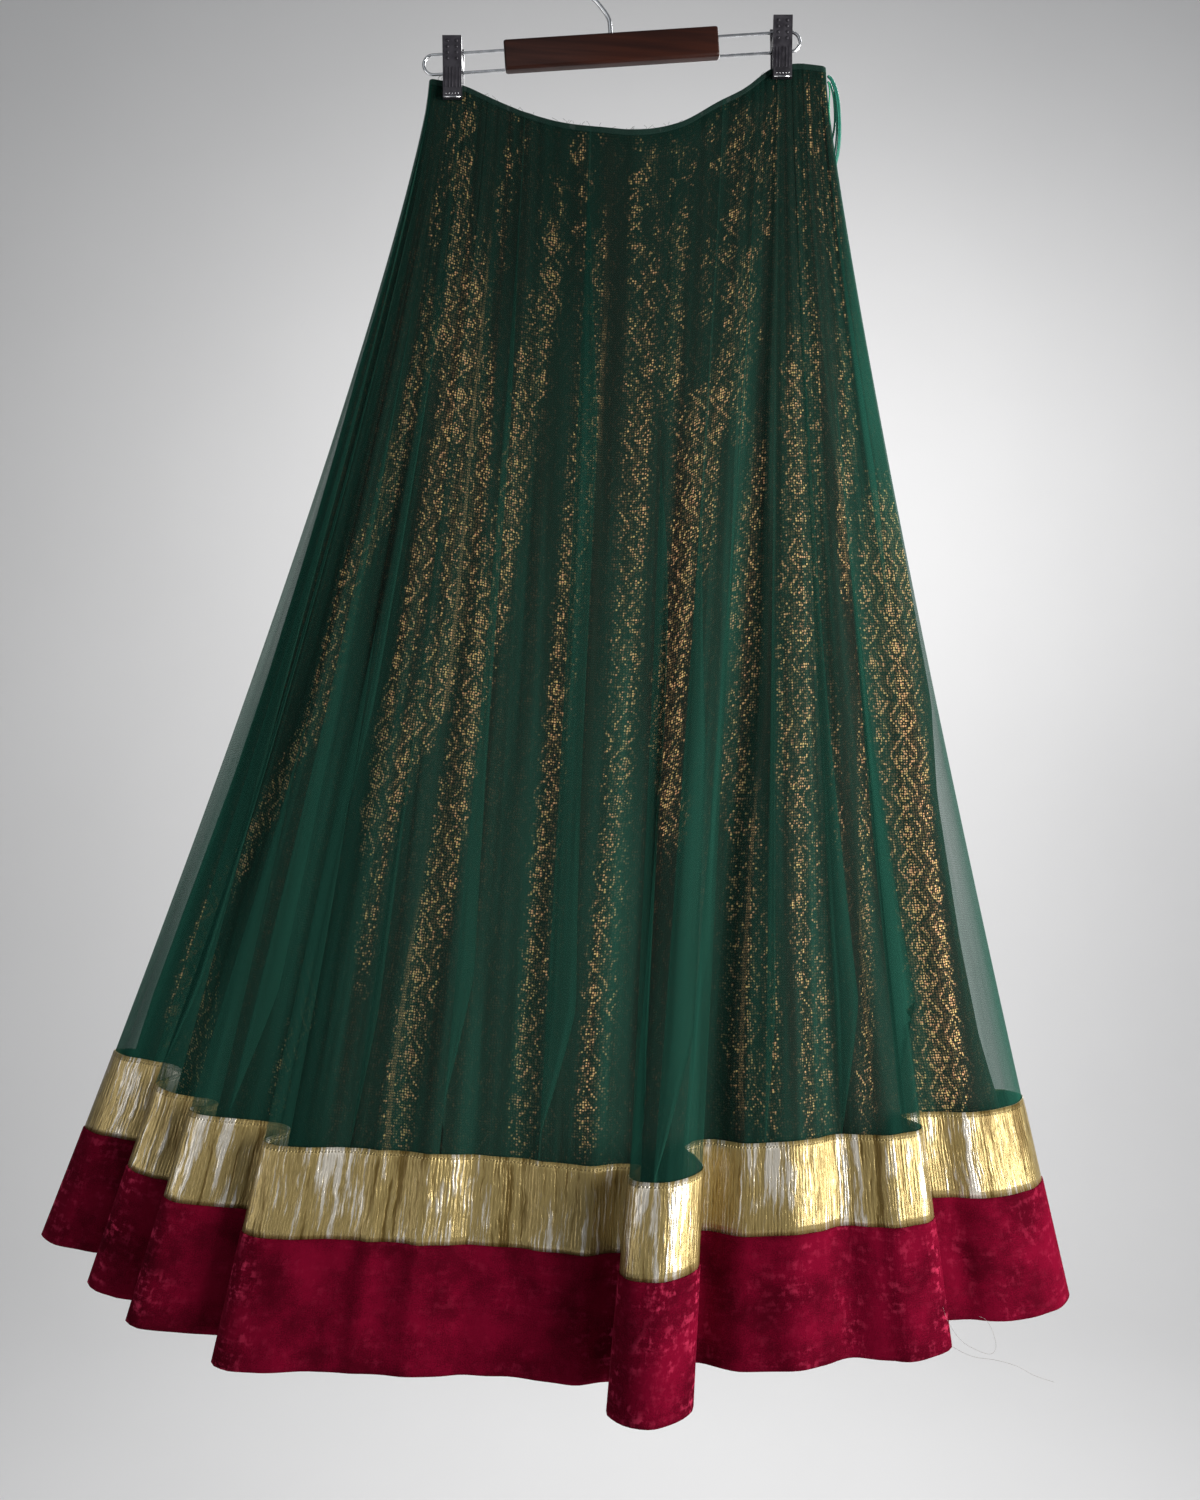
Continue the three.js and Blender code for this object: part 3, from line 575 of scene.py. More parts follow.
class Value:
    """A value in a material's node tree, for use in plain arithmetic."""

    def __init__(self, nodes, socket):
        self.nodes = nodes
        self.socket = socket

    def __add__(self, other):
        return self.nodes.math("ADD", self, other)

    def __sub__(self, other):
        return self.nodes.math("SUBTRACT", self, other)

    def __mul__(self, other):
        return self.nodes.math("MULTIPLY", self, other)

    def __truediv__(self, other):
        return self.nodes.math("DIVIDE", self, other)

    def __mod__(self, other):
        return self.nodes.math("FLOORED_MODULO", self, other)

    def __pow__(self, other):
        return self.nodes.math("POWER", self, other)

    def __abs__(self):
        return self.nodes.math("ABSOLUTE", self)


class Nodes:
    """Short calls for building a material's node tree."""

    def __init__(self, name):
        self.material = bpy.data.materials.new(name)
        self.material.use_nodes = True
        self.tree = self.material.node_tree
        self.shader = self.tree.nodes["Principled BSDF"]

    def node(self, kind, inputs=(), **settings):
        """The outputs of a new node, whose inputs are set by number or name."""
        made = self.tree.nodes.new("ShaderNode" + kind)
        for key, value in settings.items():
            setattr(made, key, value)
        for key, value in dict(inputs).items():
            self.put(made.inputs[key], value)
        return [Value(self, socket) for socket in made.outputs]

    def put(self, socket, value):
        """Links a Value to an input, or sets the input to a plain value."""
        if isinstance(value, Value):
            self.tree.links.new(value.socket, socket)
        else:
            socket.default_value = value

    def math(self, operation, *values, clamp=False):
        """The result of one Math node."""
        return self.node("Math", enumerate(values), operation=operation, use_clamp=clamp)[0]

    def parts(self, vector):
        """A vector's three coordinates."""
        return self.node("SeparateXYZ", {0: vector})

    def uv(self, layer="cloth"):
        """The two cloth coordinates, in metres."""
        return self.parts(self.node("UVMap", uv_map=layer)[0])[:2]

    def place(self):
        """The place in the object's own space, in metres."""
        return self.node("TexCoord")[3]

    def noise(self, place, scale=1.0, detail=3.0, roughness=0.55):
        """Noise at a vector, or at two or three coordinates."""
        if isinstance(place, tuple):
            place = self.node("CombineXYZ", enumerate(place))[0]
        inputs = {"Vector": place, "Scale": scale, "Detail": detail, "Roughness": roughness}
        return self.node("TexNoise", inputs)[0]

    def steps(self, value, low, high, to_low=0.0, to_high=1.0):
        """value from low to high, smoothly mapped to to_low to to_high."""
        inputs = enumerate((value, low, high, to_low, to_high))
        return self.node("MapRange", inputs, interpolation_type="SMOOTHSTEP")[0]

    def wave(self, value, pitch):
        """A sine of value with that pitch, from 0 to 1."""
        return self.math("SINE", value * (2 * math.pi / pitch)) * 0.5 + 0.5

    def most(self, first, *others):
        """The largest of the values."""
        for other in others:
            first = self.math("MAXIMUM", first, other)
        return first

    def mix(self, share, a, b):
        """A colour between two colours."""
        a, b = ((*c, 1) if isinstance(c, tuple) else c for c in (a, b))
        return self.node("Mix", {0: share, 6: a, 7: b}, data_type="RGBA")[2]

    def bump(self, height, strength, distance):
        """A normal from a height; distance is in metres."""
        inputs = {"Height": height, "Strength": strength, "Distance": distance}
        return self.node("Bump", inputs)[0]

    def finish(self, **inputs):
        """Sets the shader's sockets by name, with _ for a space."""
        for key, value in inputs.items():
            value = (*value, 1) if isinstance(value, tuple) and len(value) == 3 else value
            self.put(self.shader.inputs[key.replace("_", " ")], value)
        return self.material


def net_material():
    """Sheer net: fine holes, long streaks where its threads crowd together, and painted shade in the
    gathers under the waist.
    """
    n = Nodes("net")
    u, v = n.uv()
    crowd, _ = n.uv("crowd")
    streaks = n.noise((u * 60, v * 2.2))
    broad = n.noise((u * 17, v * 1.3, 3))
    holes = n.wave(u, NET_PITCH) * n.wave(v, NET_PITCH)
    # Towards the waist the gathers thicken the net, and they also carry its painted shade.
    gathered = n.steps(v, 0.03, 0.42, 1, 0)
    cover = n.steps(streaks, 0.3, 0.7, 0.32, 0.44) + n.steps(broad, 0.35, 0.65, -0.06, 0.10)
    cover = cover + crowd * 0.30 + gathered * 0.16 + n.steps(v, 0.55, 0.95, 0, 0.06)
    cover = n.most(cover, 0.16)
    colour = n.mix(n.steps(streaks, 0.3, 0.75), (0.0105, 0.043, 0.0300), (0.0150, 0.072, 0.0510))
    # Painted shade: the colour darkens towards the waist, where the gathers would shade the net.
    colour = n.mix(gathered, colour, (0.0060, 0.0260, 0.0190))
    return n.finish(
        Base_Color=n.mix(n.most(crowd, 0), colour, (0.016, 0.092, 0.064)),
        Alpha=n.math("SUBTRACT", cover, n.steps(holes, 0.3, 0.9, -0.05, 0.12), clamp=True),
        Roughness=0.6,
        Sheen_Weight=0.03,
        Sheen_Roughness=0.4,
        Sheen_Tint=(0.2, 0.8, 0.55),
        Specular_IOR_Level=0.0,
    )


def teardrop(n, x, y, size):
    """Distance from a teardrop's outline: 1 on it, less inside. Its point is up."""
    taper = n.steps(y, -0.5 * size, 0.9 * size, 1, 0.15)
    across = x / (taper * (0.62 * size))
    return n.math("SQRT", across**2 + (y / size) ** 2)


def brocade_material():
    """Dark cloth with columns of dotted gold teardrops, each half a repeat off the next, and painted glints
    on the gold.
    """
    n = Nodes("brocade")
    u, v = n.uv("motif")
    x = u / MOTIF_WIDTH
    y = v / -MOTIF_HEIGHT + n.math("FLOOR", x) % 2 * 0.5
    # Across and up from the middle of a motif, in millimetres.
    across = (n.math("FRACT", x) - 0.5) * (MOTIF_WIDTH / MM)
    up = (n.math("FRACT", y) - 0.45) * (MOTIF_HEIGHT / MM)
    d = teardrop(n, across, up, 10.5)
    outline = n.steps(abs(d - 1.22), 0.12, 0.24, 0.9, 0.12)
    core = n.steps(d, 0.68, 0.84, 1, 0)
    # A dotted trellis runs round each teardrop and meets its neighbours'.
    ring = abs(across / 12.5) + abs((up - 1.5) / 17.5)
    trellis = n.steps(abs(ring - 1.02), 0.08, 0.16, 0.8, 0.12)
    grid = {"Vector": n.node("CombineXYZ", {0: u, 1: v})[0], "Scale": 1 / DOT_PITCH, "Randomness": 0.4}
    from_dot, dot_colour = n.node("TexVoronoi", grid)[:2]
    chance, warmth = n.node("SeparateColor", {0: dot_colour})[:2]
    zari = n.most(outline, core, trellis) * n.steps(from_dot, 0.30, 0.50, 1, 0)
    # Painted glints: the gold is brightened in the bands that the mesh holds, in clusters near the waist.
    shine, _ = n.uv("shine")
    along, down = n.uv("cloth")
    patch = n.noise((along * 70, down * 34, 2), detail=4)
    cluster = n.most(n.steps(patch, 0.46, 0.58, 0, 1.35), n.steps(down, 0.05, 0.38) * 0.55 + 0.05)
    painted_sparkle = (shine * cluster + 0.055) * n.steps(chance, 0.15, 0.90, 0.30, 2.1)
    # Painted glint colour: a dim bronze where the gold doesn't glint, a bright tint where it does.
    tint = n.mix(warmth, (1.0, 0.72, 0.27), (1.0, 0.50, 0.26))
    gold = n.mix(n.steps(painted_sparkle, 0, 0.7), (0.11, 0.055, 0.034), tint)
    ground = n.mix(n.wave(v, WEFT_PITCH), (0.0085, 0.0086, 0.0070), (0.0140, 0.0138, 0.0112))
    painted_glint_zari = zari * n.steps(painted_sparkle, 0, 0.40, 0.20, 1)
    return n.finish(
        Base_Color=n.mix(painted_glint_zari, ground, gold),
        Specular_IOR_Level=0.03,
        Roughness=n.steps(painted_glint_zari, 0, 1, 0.8, 0.35),
        Normal=n.bump(zari, 0.4, 0.4 * MM),
    )


def gold_material():
    """Tissue with fine ribs, buckled lengthwise so that it flashes in streaks, and painted reflections in
    its colour.
    """
    n = Nodes("gold_tissue")
    u, v = n.uv()
    rib = n.wave(u, RIB_PITCH)
    swayed = (n.noise((u * 30, v * 26, 1)) - 0.5) * (8 * MM) + u
    fine = n.noise((swayed * 420, v * 36), roughness=0.6)
    streak = n.noise((swayed * 120, v * 7, 8), roughness=0.6)
    broad = n.noise((swayed * 26, v * 4, 4), detail=2)
    level = streak * 0.5 + broad * 0.5 + (fine - 0.5) * 0.32
    # Painted reflections: dark and pale highlight streaks over the olive gold; then painted shade in the
    # grooves between the ribs.
    colour = n.mix(n.steps(level, 0.38, 0.48), (0.150, 0.096, 0.020), (0.40, 0.300, 0.115))
    colour = n.mix(n.steps(level, 0.525, 0.59), colour, (0.80, 0.745, 0.64))
    colour = n.mix(n.steps(rib, 0.25, 0.8, 0.12, 0), colour, (0.09, 0.055, 0.010))
    seam = v - (GOLD_TOP * SKIRT_LENGTH * MM + STITCH_FROM_EDGE)
    stitch = n.steps(abs(seam), 0.4 * MM, 1.0 * MM, 1, 0)
    stitch = stitch * n.steps(n.wave(u, STITCH_PITCH), 0.2, 0.6)
    return n.finish(
        Base_Color=n.mix(stitch * 0.6, colour, (0.12, 0.09, 0.03)),
        Metallic=0.5,
        Roughness=n.steps(level, 0.3, 0.7, 0.38, 0.20),
        Normal=n.bump(rib * 0.14 + level * 3.4 - stitch * 0.5, 1.0, 0.8 * MM),
    )


def velvet_material():
    """Crimson pile with paler crush marks, and painted sheen where the cloth turns."""
    n = Nodes("velvet")
    u, v = n.uv()
    fold_turn, _ = n.uv("shine")
    marks = n.noise((u, v), 120, 5, 0.62)
    tufts = n.noise((u * 260, v * 110, 9), roughness=0.6)
    ripples = n.noise((u * 45, v * 230, 5), roughness=0.5)
    level = marks * 0.45 + tufts * 0.30 + ripples * 0.25
    edge = fold_turn**1.3
    patches = n.steps(n.noise((u, v, 4), 28, 2), 0.44, 0.58, 0.25, 1.1)
    # Paler marks: crush marks at random, and painted sheen where the cloth turns.
    pale = n.steps(level, 0.49, 0.60) * ((edge * 1.1 + 0.08) * patches)
    tone = n.noise((u, v), 900, 2) * 0.35 + n.noise((u, v), 20, 4, 0.6) * 0.65
    deep = n.mix(n.steps(tone, 0.38, 0.60), (0.070, 0.0010, 0.0074), (0.168, 0.0022, 0.0178))
    return n.finish(
        Base_Color=n.mix(pale, deep, (0.48, 0.030, 0.080)),
        Roughness=0.9,
        Sheen_Weight=0.15,
        Sheen_Roughness=0.3,
        Sheen_Tint=(0.9, 0.04, 0.12),
        Specular_IOR_Level=0.02,
        Normal=n.bump(level, edge * 0.8 + 0.22, 1.8 * MM),
    )


def thread_material(name, dark, light, roughness, pitch):
    """Fine threads round a cord, an edge or a strand."""
    n = Nodes(name)
    place = n.place()
    x, _, z = n.parts(place)
    twist = n.wave(z + x, pitch * MM)
    level = n.noise(place, 900, 2) * 0.5 + twist * 0.5
    return n.finish(
        Base_Color=n.mix(n.steps(level, 0.25, 0.75), dark, light),
        Roughness=roughness,
        Sheen_Weight=0.05,
        Normal=n.bump(twist, 0.5, 0.4 * MM),
    )


def wood_material():
    """Dark varnished wood, its grain along the tilted bar."""
    n = Nodes("wood")
    x, y, z = n.parts(n.place())
    bend = x * 0.065 + z
    grain = n.noise((x * 7, y * 70, bend * 150), detail=5)
    pores = n.noise((x * 60, y * 900, bend * 1500))
    return n.finish(
        Base_Color=n.mix(n.steps(grain, 0.3, 0.7), (0.017, 0.0036, 0.0016), (0.042, 0.0105, 0.0050)),
        Roughness=n.steps(grain, 0.3, 0.7, 0.42, 0.34),
        Coat_Weight=0.12,
        Coat_Roughness=0.2,
        Specular_IOR_Level=0.2,
        Normal=n.bump(pores, 0.1, 0.3 * MM),
    )


def metal_material(name, dark, light, roughness, metallic):
    """Plated or coated metal with faint wear."""
    n = Nodes(name)
    place = n.place()
    wear = n.noise(place, 160, 4)
    return n.finish(
        Base_Color=n.mix(n.steps(wear, 0.35, 0.7), dark, light),
        Metallic=metallic,
        Roughness=n.steps(wear, 0.3, 0.7, roughness * 0.8, roughness * 1.3),
        Normal=n.bump(n.noise(place, 2200, 2), 0.08, 0.2 * MM),
    )


# ---- the skirt ----

NAMES = {FRONT: "front", BACK: "back"}
PANEL_NODES = {
    "net": {
        FRONT: ["net_front_left", "net_front_inner", "net_front_fold", "net_front_right"],
        BACK: ["net_back_right", "net_back_left"],
    },
    "lining": {
        FRONT: ["lining_front_left", "lining_front_right"],
        BACK: ["lining_back_right", "lining_back_left"],
    },
}

# The cut, in metres: each side's width at the hem, of net and of lining, and the waist's.
CUT_WIDTHS = {FRONT: (1.47, 1.20), BACK: (1.12, 1.0)}
WAIST_WIDTH = 0.375
NET_FULLNESS = 1.3
# The net is cut this many times as wide, for the cloth in its pleats.
PLEAT_FULLNESS = 1.12
# The gores that a lining's panel is cut from, and how far the motif shifts from one to the next.
KALIS = 6
KALI_STEP = 11 * MM

# How far the lining's edges lie inside the net's: shares of the way down, left and right.
LINING_GAPS = [
    (0.0, 0.25, 0.40, 0.52, 0.60, 0.72, 0.80, 0.90, 1.0),
    (0.4, 3.0, 10.0, 15.0, 17.0, 17.0, 18.0, 25.0, 25.0),
    (0.4, 0.8, 2.0, 5.0, 18.0, 26.0, 28.0, 20.0, 22.0),
]
# How far the net and the lining reach up into the binding, and how far out they lie there.
NET_TUCK, NET_OVER = 4.9, 0.55
LINING_TUCK, LINING_OVER = 3.5, 1.5
TUCK_REACH, OVER_REACH = 0.02, 0.05
# The net's folds are full where it is spread at least this much.
OPEN_NET = 0.35
# How far out of the net's surface each wall starts and ends.
LINING_WALL, GOLD_WALL, VELVET_WALL, BINDING_WALL = (-0.3, 0.3), (0.7, 1.5), (0.8, 2.6), (-2.0, 0.0)

# Where the meshes have their rows and, in metres, their columns.
NET_SHARES = np.concatenate([
    np.linspace(0, 0.08, 8)[:-1], np.linspace(0.08, VELVET_TOP, 60), np.linspace(VELVET_TOP, 1, 6)[1:],
])
LINING_SHARES = np.linspace(0, 1, 60)
GOLD_SHARES = np.linspace(GOLD_TOP, VELVET_TOP, 12)
VELVET_SHARES = np.linspace(VELVET_TOP, 1, 24)
NET_SPACING = 6 * MM
LINING_SPACING = 5 * MM
BINDING_COLUMNS, BINDING_ROWS = 360, 7


def dress(piece, slot, material, *nodes):
    """The piece rides on the one body, takes the material and stands for the CAD nodes; slot is not used.
    """
    piece.data.materials.append(material)
    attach(piece, "root")
    if nodes:
        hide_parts(*nodes)
    return piece


def cloth_uv(across, t):
    """Coordinates in metres: along the cloth, and down it."""
    down = t * SKIRT_LENGTH * MM
    return np.stack(np.broadcast_arrays(across, down), -1)


def one_value(value):
    """A value for each point, kept as the first of a pair of coordinates."""
    return np.stack([value, 0 * value], -1)


def kali_uv(points, arc, t, kalis):
    """Coordinates in metres on each kali, the flared gores that a panel is cut from."""
    across = np.linalg.norm(np.diff(points, axis=1), axis=2)
    run = np.concatenate([np.zeros((len(points), 1)), np.cumsum(across, axis=1)], axis=1)
    share = (arc - arc[0]) / (arc[-1] - arc[0])
    gore = np.minimum((share * kalis).astype(int), kalis - 1)
    centre = np.stack([np.interp((gore + 0.5) / kalis, share, row) for row in run])
    return np.stack([run - centre + gore * KALI_STEP, t * SKIRT_LENGTH * MM + 0 * run], -1)


def tucked(points, t, rise):
    """The top edge drawn up into the binding by rise, in millimetres."""
    points[..., 2] += rise * MM * np.clip(1 - t / TUCK_REACH, 0, 1)
    return points


def widened(points, t):
    """The lining spread sideways so that it stops short of the net's edges by LINING_GAPS."""
    net_left, net_right = NET.edges(t)
    left, right = LINING.edges(t, LINING_INSET, LINING_END)
    gap_left, gap_right = (np.interp(t, LINING_GAPS[0], row) * MM for row in LINING_GAPS[1:])
    share = (points[..., 0] - left) / (right - left)
    new_left = net_left + gap_left
    points[..., 0] = new_left + share * (net_right - gap_right - new_left)
    return points


def make_net(side):
    """The sheer net, pleated over itself; the light passes it."""
    t = NET_SHARES[:, None]
    arcs, lifts, cloth = pleated(side, t, NET_SPACING)
    points, out = NET.rows(arcs, t)
    form = net_form(arcs, t) * np.clip(NET.spread(arcs, t) / OPEN_NET, 0, 1) ** 1.5
    over = NET_OVER * MM * np.clip(1 - t / TUCK_REACH, 0, 1)
    points = tucked(points + out * (form + lifts + over)[..., None], t, NET_TUCK)
    uvs = {"cloth": cloth_uv(cloth, t), "crowd": one_value(crowding(arcs, t))}
    net = sheet_object(f"cloth_net_{NAMES[side]}", points, uvs)
    net.visible_shadow = False
    return dress(net, "net", MATERIALS["net"], *PANEL_NODES["net"][side])


def make_lining(side):
    """The brocade, which stops short of the net at both edges."""
    t = LINING_SHARES[:, None]
    arc = even_arcs(LINING, side, LINING_SPACING)
    points, out = LINING.rows(arc, t, LINING_INSET, LINING_END)
    forward = LINING_OVER * MM * np.clip(1 - t / OVER_REACH, 0, 1)
    points = points + out * (lining_form(arc, t) + forward)[..., None]
    points = tucked(widened(points, t), t, LINING_TUCK)
    uvs = {
        "cloth": cloth_uv(arc, t),
        "motif": kali_uv(points, arc, t, KALIS),
        "shine": one_value(glint(points)),
    }
    lining = wall_object(f"cloth_lining_{NAMES[side]}", points, out, LINING_WALL, uvs)
    return dress(lining, "brocade", MATERIALS["brocade"], *PANEL_NODES["lining"][side])


def make_band(kind, side, shares, wall, slot, material):
    """A band round the skirt, on the net's outside."""
    t = shares[:, None]
    arc = even_arcs(NET, side, NET_SPACING)
    points, out = NET.rows(arc, t)
    points = points + out * net_form(arc, t)[..., None]
    # The shine layer holds how sharply the cloth turns; the velvet paints sheen from it.
    uvs = {"cloth": cloth_uv(arc, t), "shine": one_value(NET.turning(arc, t))}
    band = wall_object(f"cloth_{kind}_{NAMES[side]}", points, out, wall, uvs)
    return dress(band, slot, MATERIALS[material], f"{kind}_{NAMES[side]}")


def make_skirt(side):
    """One side's cloths: net, lining, gold band, velvet hem and waist binding."""
    net = make_net(side)
    lining = make_lining(side)
    gold = make_band("gold_band", side, GOLD_SHARES, GOLD_WALL, "gold_tissue", "gold")
    velvet = make_band("velvet_hem", side, VELVET_SHARES, VELVET_WALL, "velvet", "velvet")
    declare_sheets(make_binding(side), side)


def declare_sheets(binding, side):
    """Works out a pleated net panel's area, a trapezium, and keeps nothing of it."""
    net_hem, lining_hem = CUT_WIDTHS[side]
    height = SKIRT_LENGTH * MM
    pleated_hem = net_hem * PLEAT_FULLNESS
    (WAIST_WIDTH * NET_FULLNESS + pleated_hem) / 2 * height


def make_binding(side):
    """The bound edge of the waist, gathered into fine upright ridges."""
    turn = np.linspace(0, np.pi, BINDING_COLUMNS)
    x = WAIST_LEFT + (WAIST_RIGHT - WAIST_LEFT) * (1 - np.cos(turn)) / 2
    x = x if side == FRONT else x[::-1]
    base = np.stack(waist_points(x, np.full(len(x), side), 0, 0), -1)
    base[:, 0] = x
    along = np.gradient(base, axis=0)
    along /= np.maximum(np.hypot(along[:, 0], along[:, 1]), 1e-9)[:, None]
    out = np.stack([along[:, 1], -along[:, 0], 0 * x], -1)
    arc = np.concatenate([[0], np.cumsum(np.linalg.norm(np.diff(base, axis=0), axis=1))]) * MM
    levels = np.linspace(1, 0, BINDING_ROWS)[:, None]
    rounding = 0.15 * np.sqrt(np.clip(1 - (2 * levels - 1) ** 2, 0, 1))
    ridge = 0.5 * np.sin(arc / (1.1 * MM)) + 0.4 * np.sin(arc / (2.6 * MM) + 1)
    points = (base + levels[..., None] * [0, 0, BINDING] + [0, 0, GAP]) * MM
    points = points + out * (rounding * (1 + ridge) * MM)[..., None]
    out = np.broadcast_to(out, points.shape)
    uvs = {"cloth": np.stack(np.broadcast_arrays(arc, (1 - levels) * BINDING * MM), -1)}
    binding = wall_object(f"cloth_waist_binding_{NAMES[side]}", points, out, BINDING_WALL, uvs)
    return dress(binding, "binding", MATERIALS["binding"], f"waist_binding_{NAMES[side]}")


# ---- hanging loops: the routes of the part's source, in metres ----

LOOPS = [
    (
        "waist_loop_outer",
        0.0025,
        [
            (0.2044, 0, -0.107), (0.208, 0, -0.110), (0.212, 0, -0.119), (0.2146, 0.0006, -0.132),
            (0.2156, 0.0012, -0.146), (0.2158, 0.0028, -0.160), (0.2146, 0.005, -0.174),
            (0.2114, 0.0076, -0.188), (0.207, 0.0094, -0.200), (0.2015, 0.010, -0.207),
            (0.1964, 0.010, -0.202), (0.194, 0.0096, -0.190), (0.1932, 0.0092, -0.172),
            (0.1932, 0.0086, -0.152), (0.1936, 0.008, -0.132), (0.194, 0.0074, -0.118),
            (0.194, 0.0069, -0.109),
        ],
    ),
    (
        "waist_loop_inner",
        0.002,
        [
            (0.2042, 0.0004, -0.112), (0.207, 0.0006, -0.115), (0.2096, 0.001, -0.124),
            (0.211, 0.002, -0.136), (0.2114, 0.0036, -0.148), (0.2102, 0.006, -0.159),
            (0.207, 0.008, -0.169), (0.2034, 0.0086, -0.174), (0.2004, 0.0084, -0.170),
            (0.1994, 0.008, -0.158), (0.199, 0.0076, -0.142), (0.199, 0.007, -0.126),
            (0.199, 0.0066, -0.112),
        ],
    ),
]


def smooth_path(points, steps=5):
    """A Catmull-Rom curve through the points, as closely spaced points."""
    p = [Vector(point) for point in points]
    p = [2 * p[0] - p[1], *p, 2 * p[-1] - p[-2]]
    made = []
    for a, b, c, d in zip(p, p[1:], p[2:], p[3:]):
        for k in range(steps):
            s = k / steps
            made.append(
                0.5 * (2 * b + (c - a) * s + (2 * a - 5 * b + 4 * c - d) * s**2
                       + (3 * b - a - 3 * c + d) * s**3)
            )
    return [*made, p[-2]]


def tube_curve(name, points, diameter):
    """A round wire or cord along the points."""
    curve = bpy.data.curves.new(name, "CURVE")
    curve.dimensions = "3D"
    curve.bevel_depth = diameter / 2
    curve.bevel_resolution = 3
    curve.use_fill_caps = True
    spline = curve.splines.new("POLY")
    spline.points.add(len(points) - 1)
    for place, point in zip(spline.points, points):
        place.co = (*point, 1)
    obj = bpy.data.objects.new(name, curve)
    bpy.context.scene.collection.objects.link(obj)
    return obj


def make_loops():
    """The waist's two hanging loops."""
    for name, diameter, route in LOOPS:
        path = smooth_path(route)
        length = sum((b - a).length for a, b in zip(path, path[1:]))
        cord = tube_curve(f"cord_{name}", path, diameter)
        dress(cord, "satin", MATERIALS["satin"], name)


# The strands that lie beside the outer loop: how far in from it, forward and up, in metres.
LOOP_STRANDS = [(-0.0016, -0.0010, -0.004), (-0.0030, -0.0004, 0.001), (0.0008, 0.0012, -0.002)]
# A short turn of the same satin cord, drawn in a lighter copy of the satin: a painted highlight.
SHORT_STRAND = [
    (0.2046, -0.0014, -0.113), (0.2058, -0.0018, -0.122), (0.2052, -0.0018, -0.134),
    (0.2056, -0.0014, -0.146), (0.2064, -0.0008, -0.152),
]


def make_loop_strands():
    """The satin cord's other turns, which hang in a bunch beside the seam."""
    route = np.array(LOOPS[0][2][:10])
    reach = np.sin(np.linspace(0.1, math.pi - 0.1, len(route)))[:, None]
    parts = [strand(smooth_path(route + reach * offset), 0.8 * MM, 6) for offset in LOOP_STRANDS]
    dress(joined("waist_loop_strands", parts), "satin", MATERIALS["satin"])
    short = joined("waist_loop_short_strand", [strand(smooth_path(SHORT_STRAND), 0.7 * MM, 6)])
    dress(short, "satin", MATERIALS["satin highlight"])


# ---- the hanger: sizes in metres, as in the part's source ----

HANGER_TILT = math.radians(3.7)
BAR_LENGTH, BAR_HEIGHT, BAR_DEPTH, BAR_Z, BAR_ROUND = 0.197, 0.028, 0.012, -0.0833, 0.003
# The bar's rounded ends: how far in a section lies, and how much smaller it is.
BAR_ENDS = [(0.0, 0.0014), (0.0006, 0.00049), (0.0022, 0.0)]
CORNER_STEPS = 8
RAIL_REACH, RAIL_ABOVE, RAIL_BELOW, RAIL_DIAMETER = 0.1733, 0.006, 0.0122, 0.003
RAIL_STEPS = 24
HOOK_RADIUS, HOOK_DIAMETER = 0.024, 0.004
HOOK_START, HOOK_END, HOOK_STEPS = 175, -38, 9
HOOK_NECK = [(0, -0.061), (-0.0006, -0.055), (-0.004, -0.048), (-0.011, -0.038), (-0.0186, -0.0304)]
CLIPS = {"left": (-0.140, -0.0766), "right": (0.1615, -0.058)}
CLIP_HEIGHT, LIP_WIDTH, LIP_FACE = 0.055, 0.0165, 0.0105
# How far a jaw's outer face is from the clip's middle, at depths below its top.
JAW_DEPTHS, JAW_FACES = (0, 0.026, 0.055), (0.0135, 0.0098, 0.0088)
# Bumps on the jaws' tails, ribs below them, and teeth on the lips.
BUMP_DEPTHS = (0.0045, 0.0095, 0.0145, 0.0195)
BUMP_ASIDE, BUMP_RADIUS, BUMP_HEIGHT = 0.0041, 0.0016, 0.0013
RIB_TOP, RIB_BOTTOM, RIB_SPACING = 0.027, 0.0455, 0.0031
RIB_HALF, RIB_HEIGHT, RIB_END = 0.00055, 0.0005, 0.001
TOOTH_SPACING, TOOTH_RADIUS, TOOTH_HEIGHT, TOOTH_UP = 0.0028, 0.00065, 0.0009, 0.0036
LIP_EDGE = 0.0012
SINK = 0.0003
DOME_RINGS, DOME_SIDES = 4, 12


def tilted(x, y, z):
    """A point of the hanger, turned with it about the hook's seat."""
    cosine, sine = math.cos(HANGER_TILT), math.sin(HANGER_TILT)
    return x * cosine - z * sine, y, x * sine + z * cosine


def rail_path(sign):
    """A rail's wire: out of the bar, round its end and back in."""
    top = BAR_Z + RAIL_ABOVE
    bottom = BAR_Z - RAIL_BELOW
    radius = (top - bottom) / 2
    end = RAIL_REACH - radius
    start = BAR_LENGTH / 2 + GAP * MM
    points = [(start, top), (end, top)]
    for k in range(1, RAIL_STEPS):
        angle = math.pi / 2 - math.pi * k / RAIL_STEPS
        points.append((end + radius * math.cos(angle), bottom + radius + radius * math.sin(angle)))
    points += [(end, bottom), (start, bottom)]
    return [tilted(sign * x, 0, z) for x, z in points]


def hook_path():
    """The hook's wire: up its neck and round its arc."""
    points = [(0, BAR_Z + BAR_HEIGHT / 2 + GAP * MM), *HOOK_NECK]
    centre = HOOK_DIAMETER / 2 - HOOK_RADIUS
    for k in range(HOOK_STEPS + 1):
        angle = math.radians(HOOK_START + (HOOK_END - HOOK_START) * k / HOOK_STEPS)
        points.append((HOOK_RADIUS * math.cos(angle), centre + HOOK_RADIUS * math.sin(angle)))
    return smooth_path([tilted(x, 0, z) for x, z in points], 6)


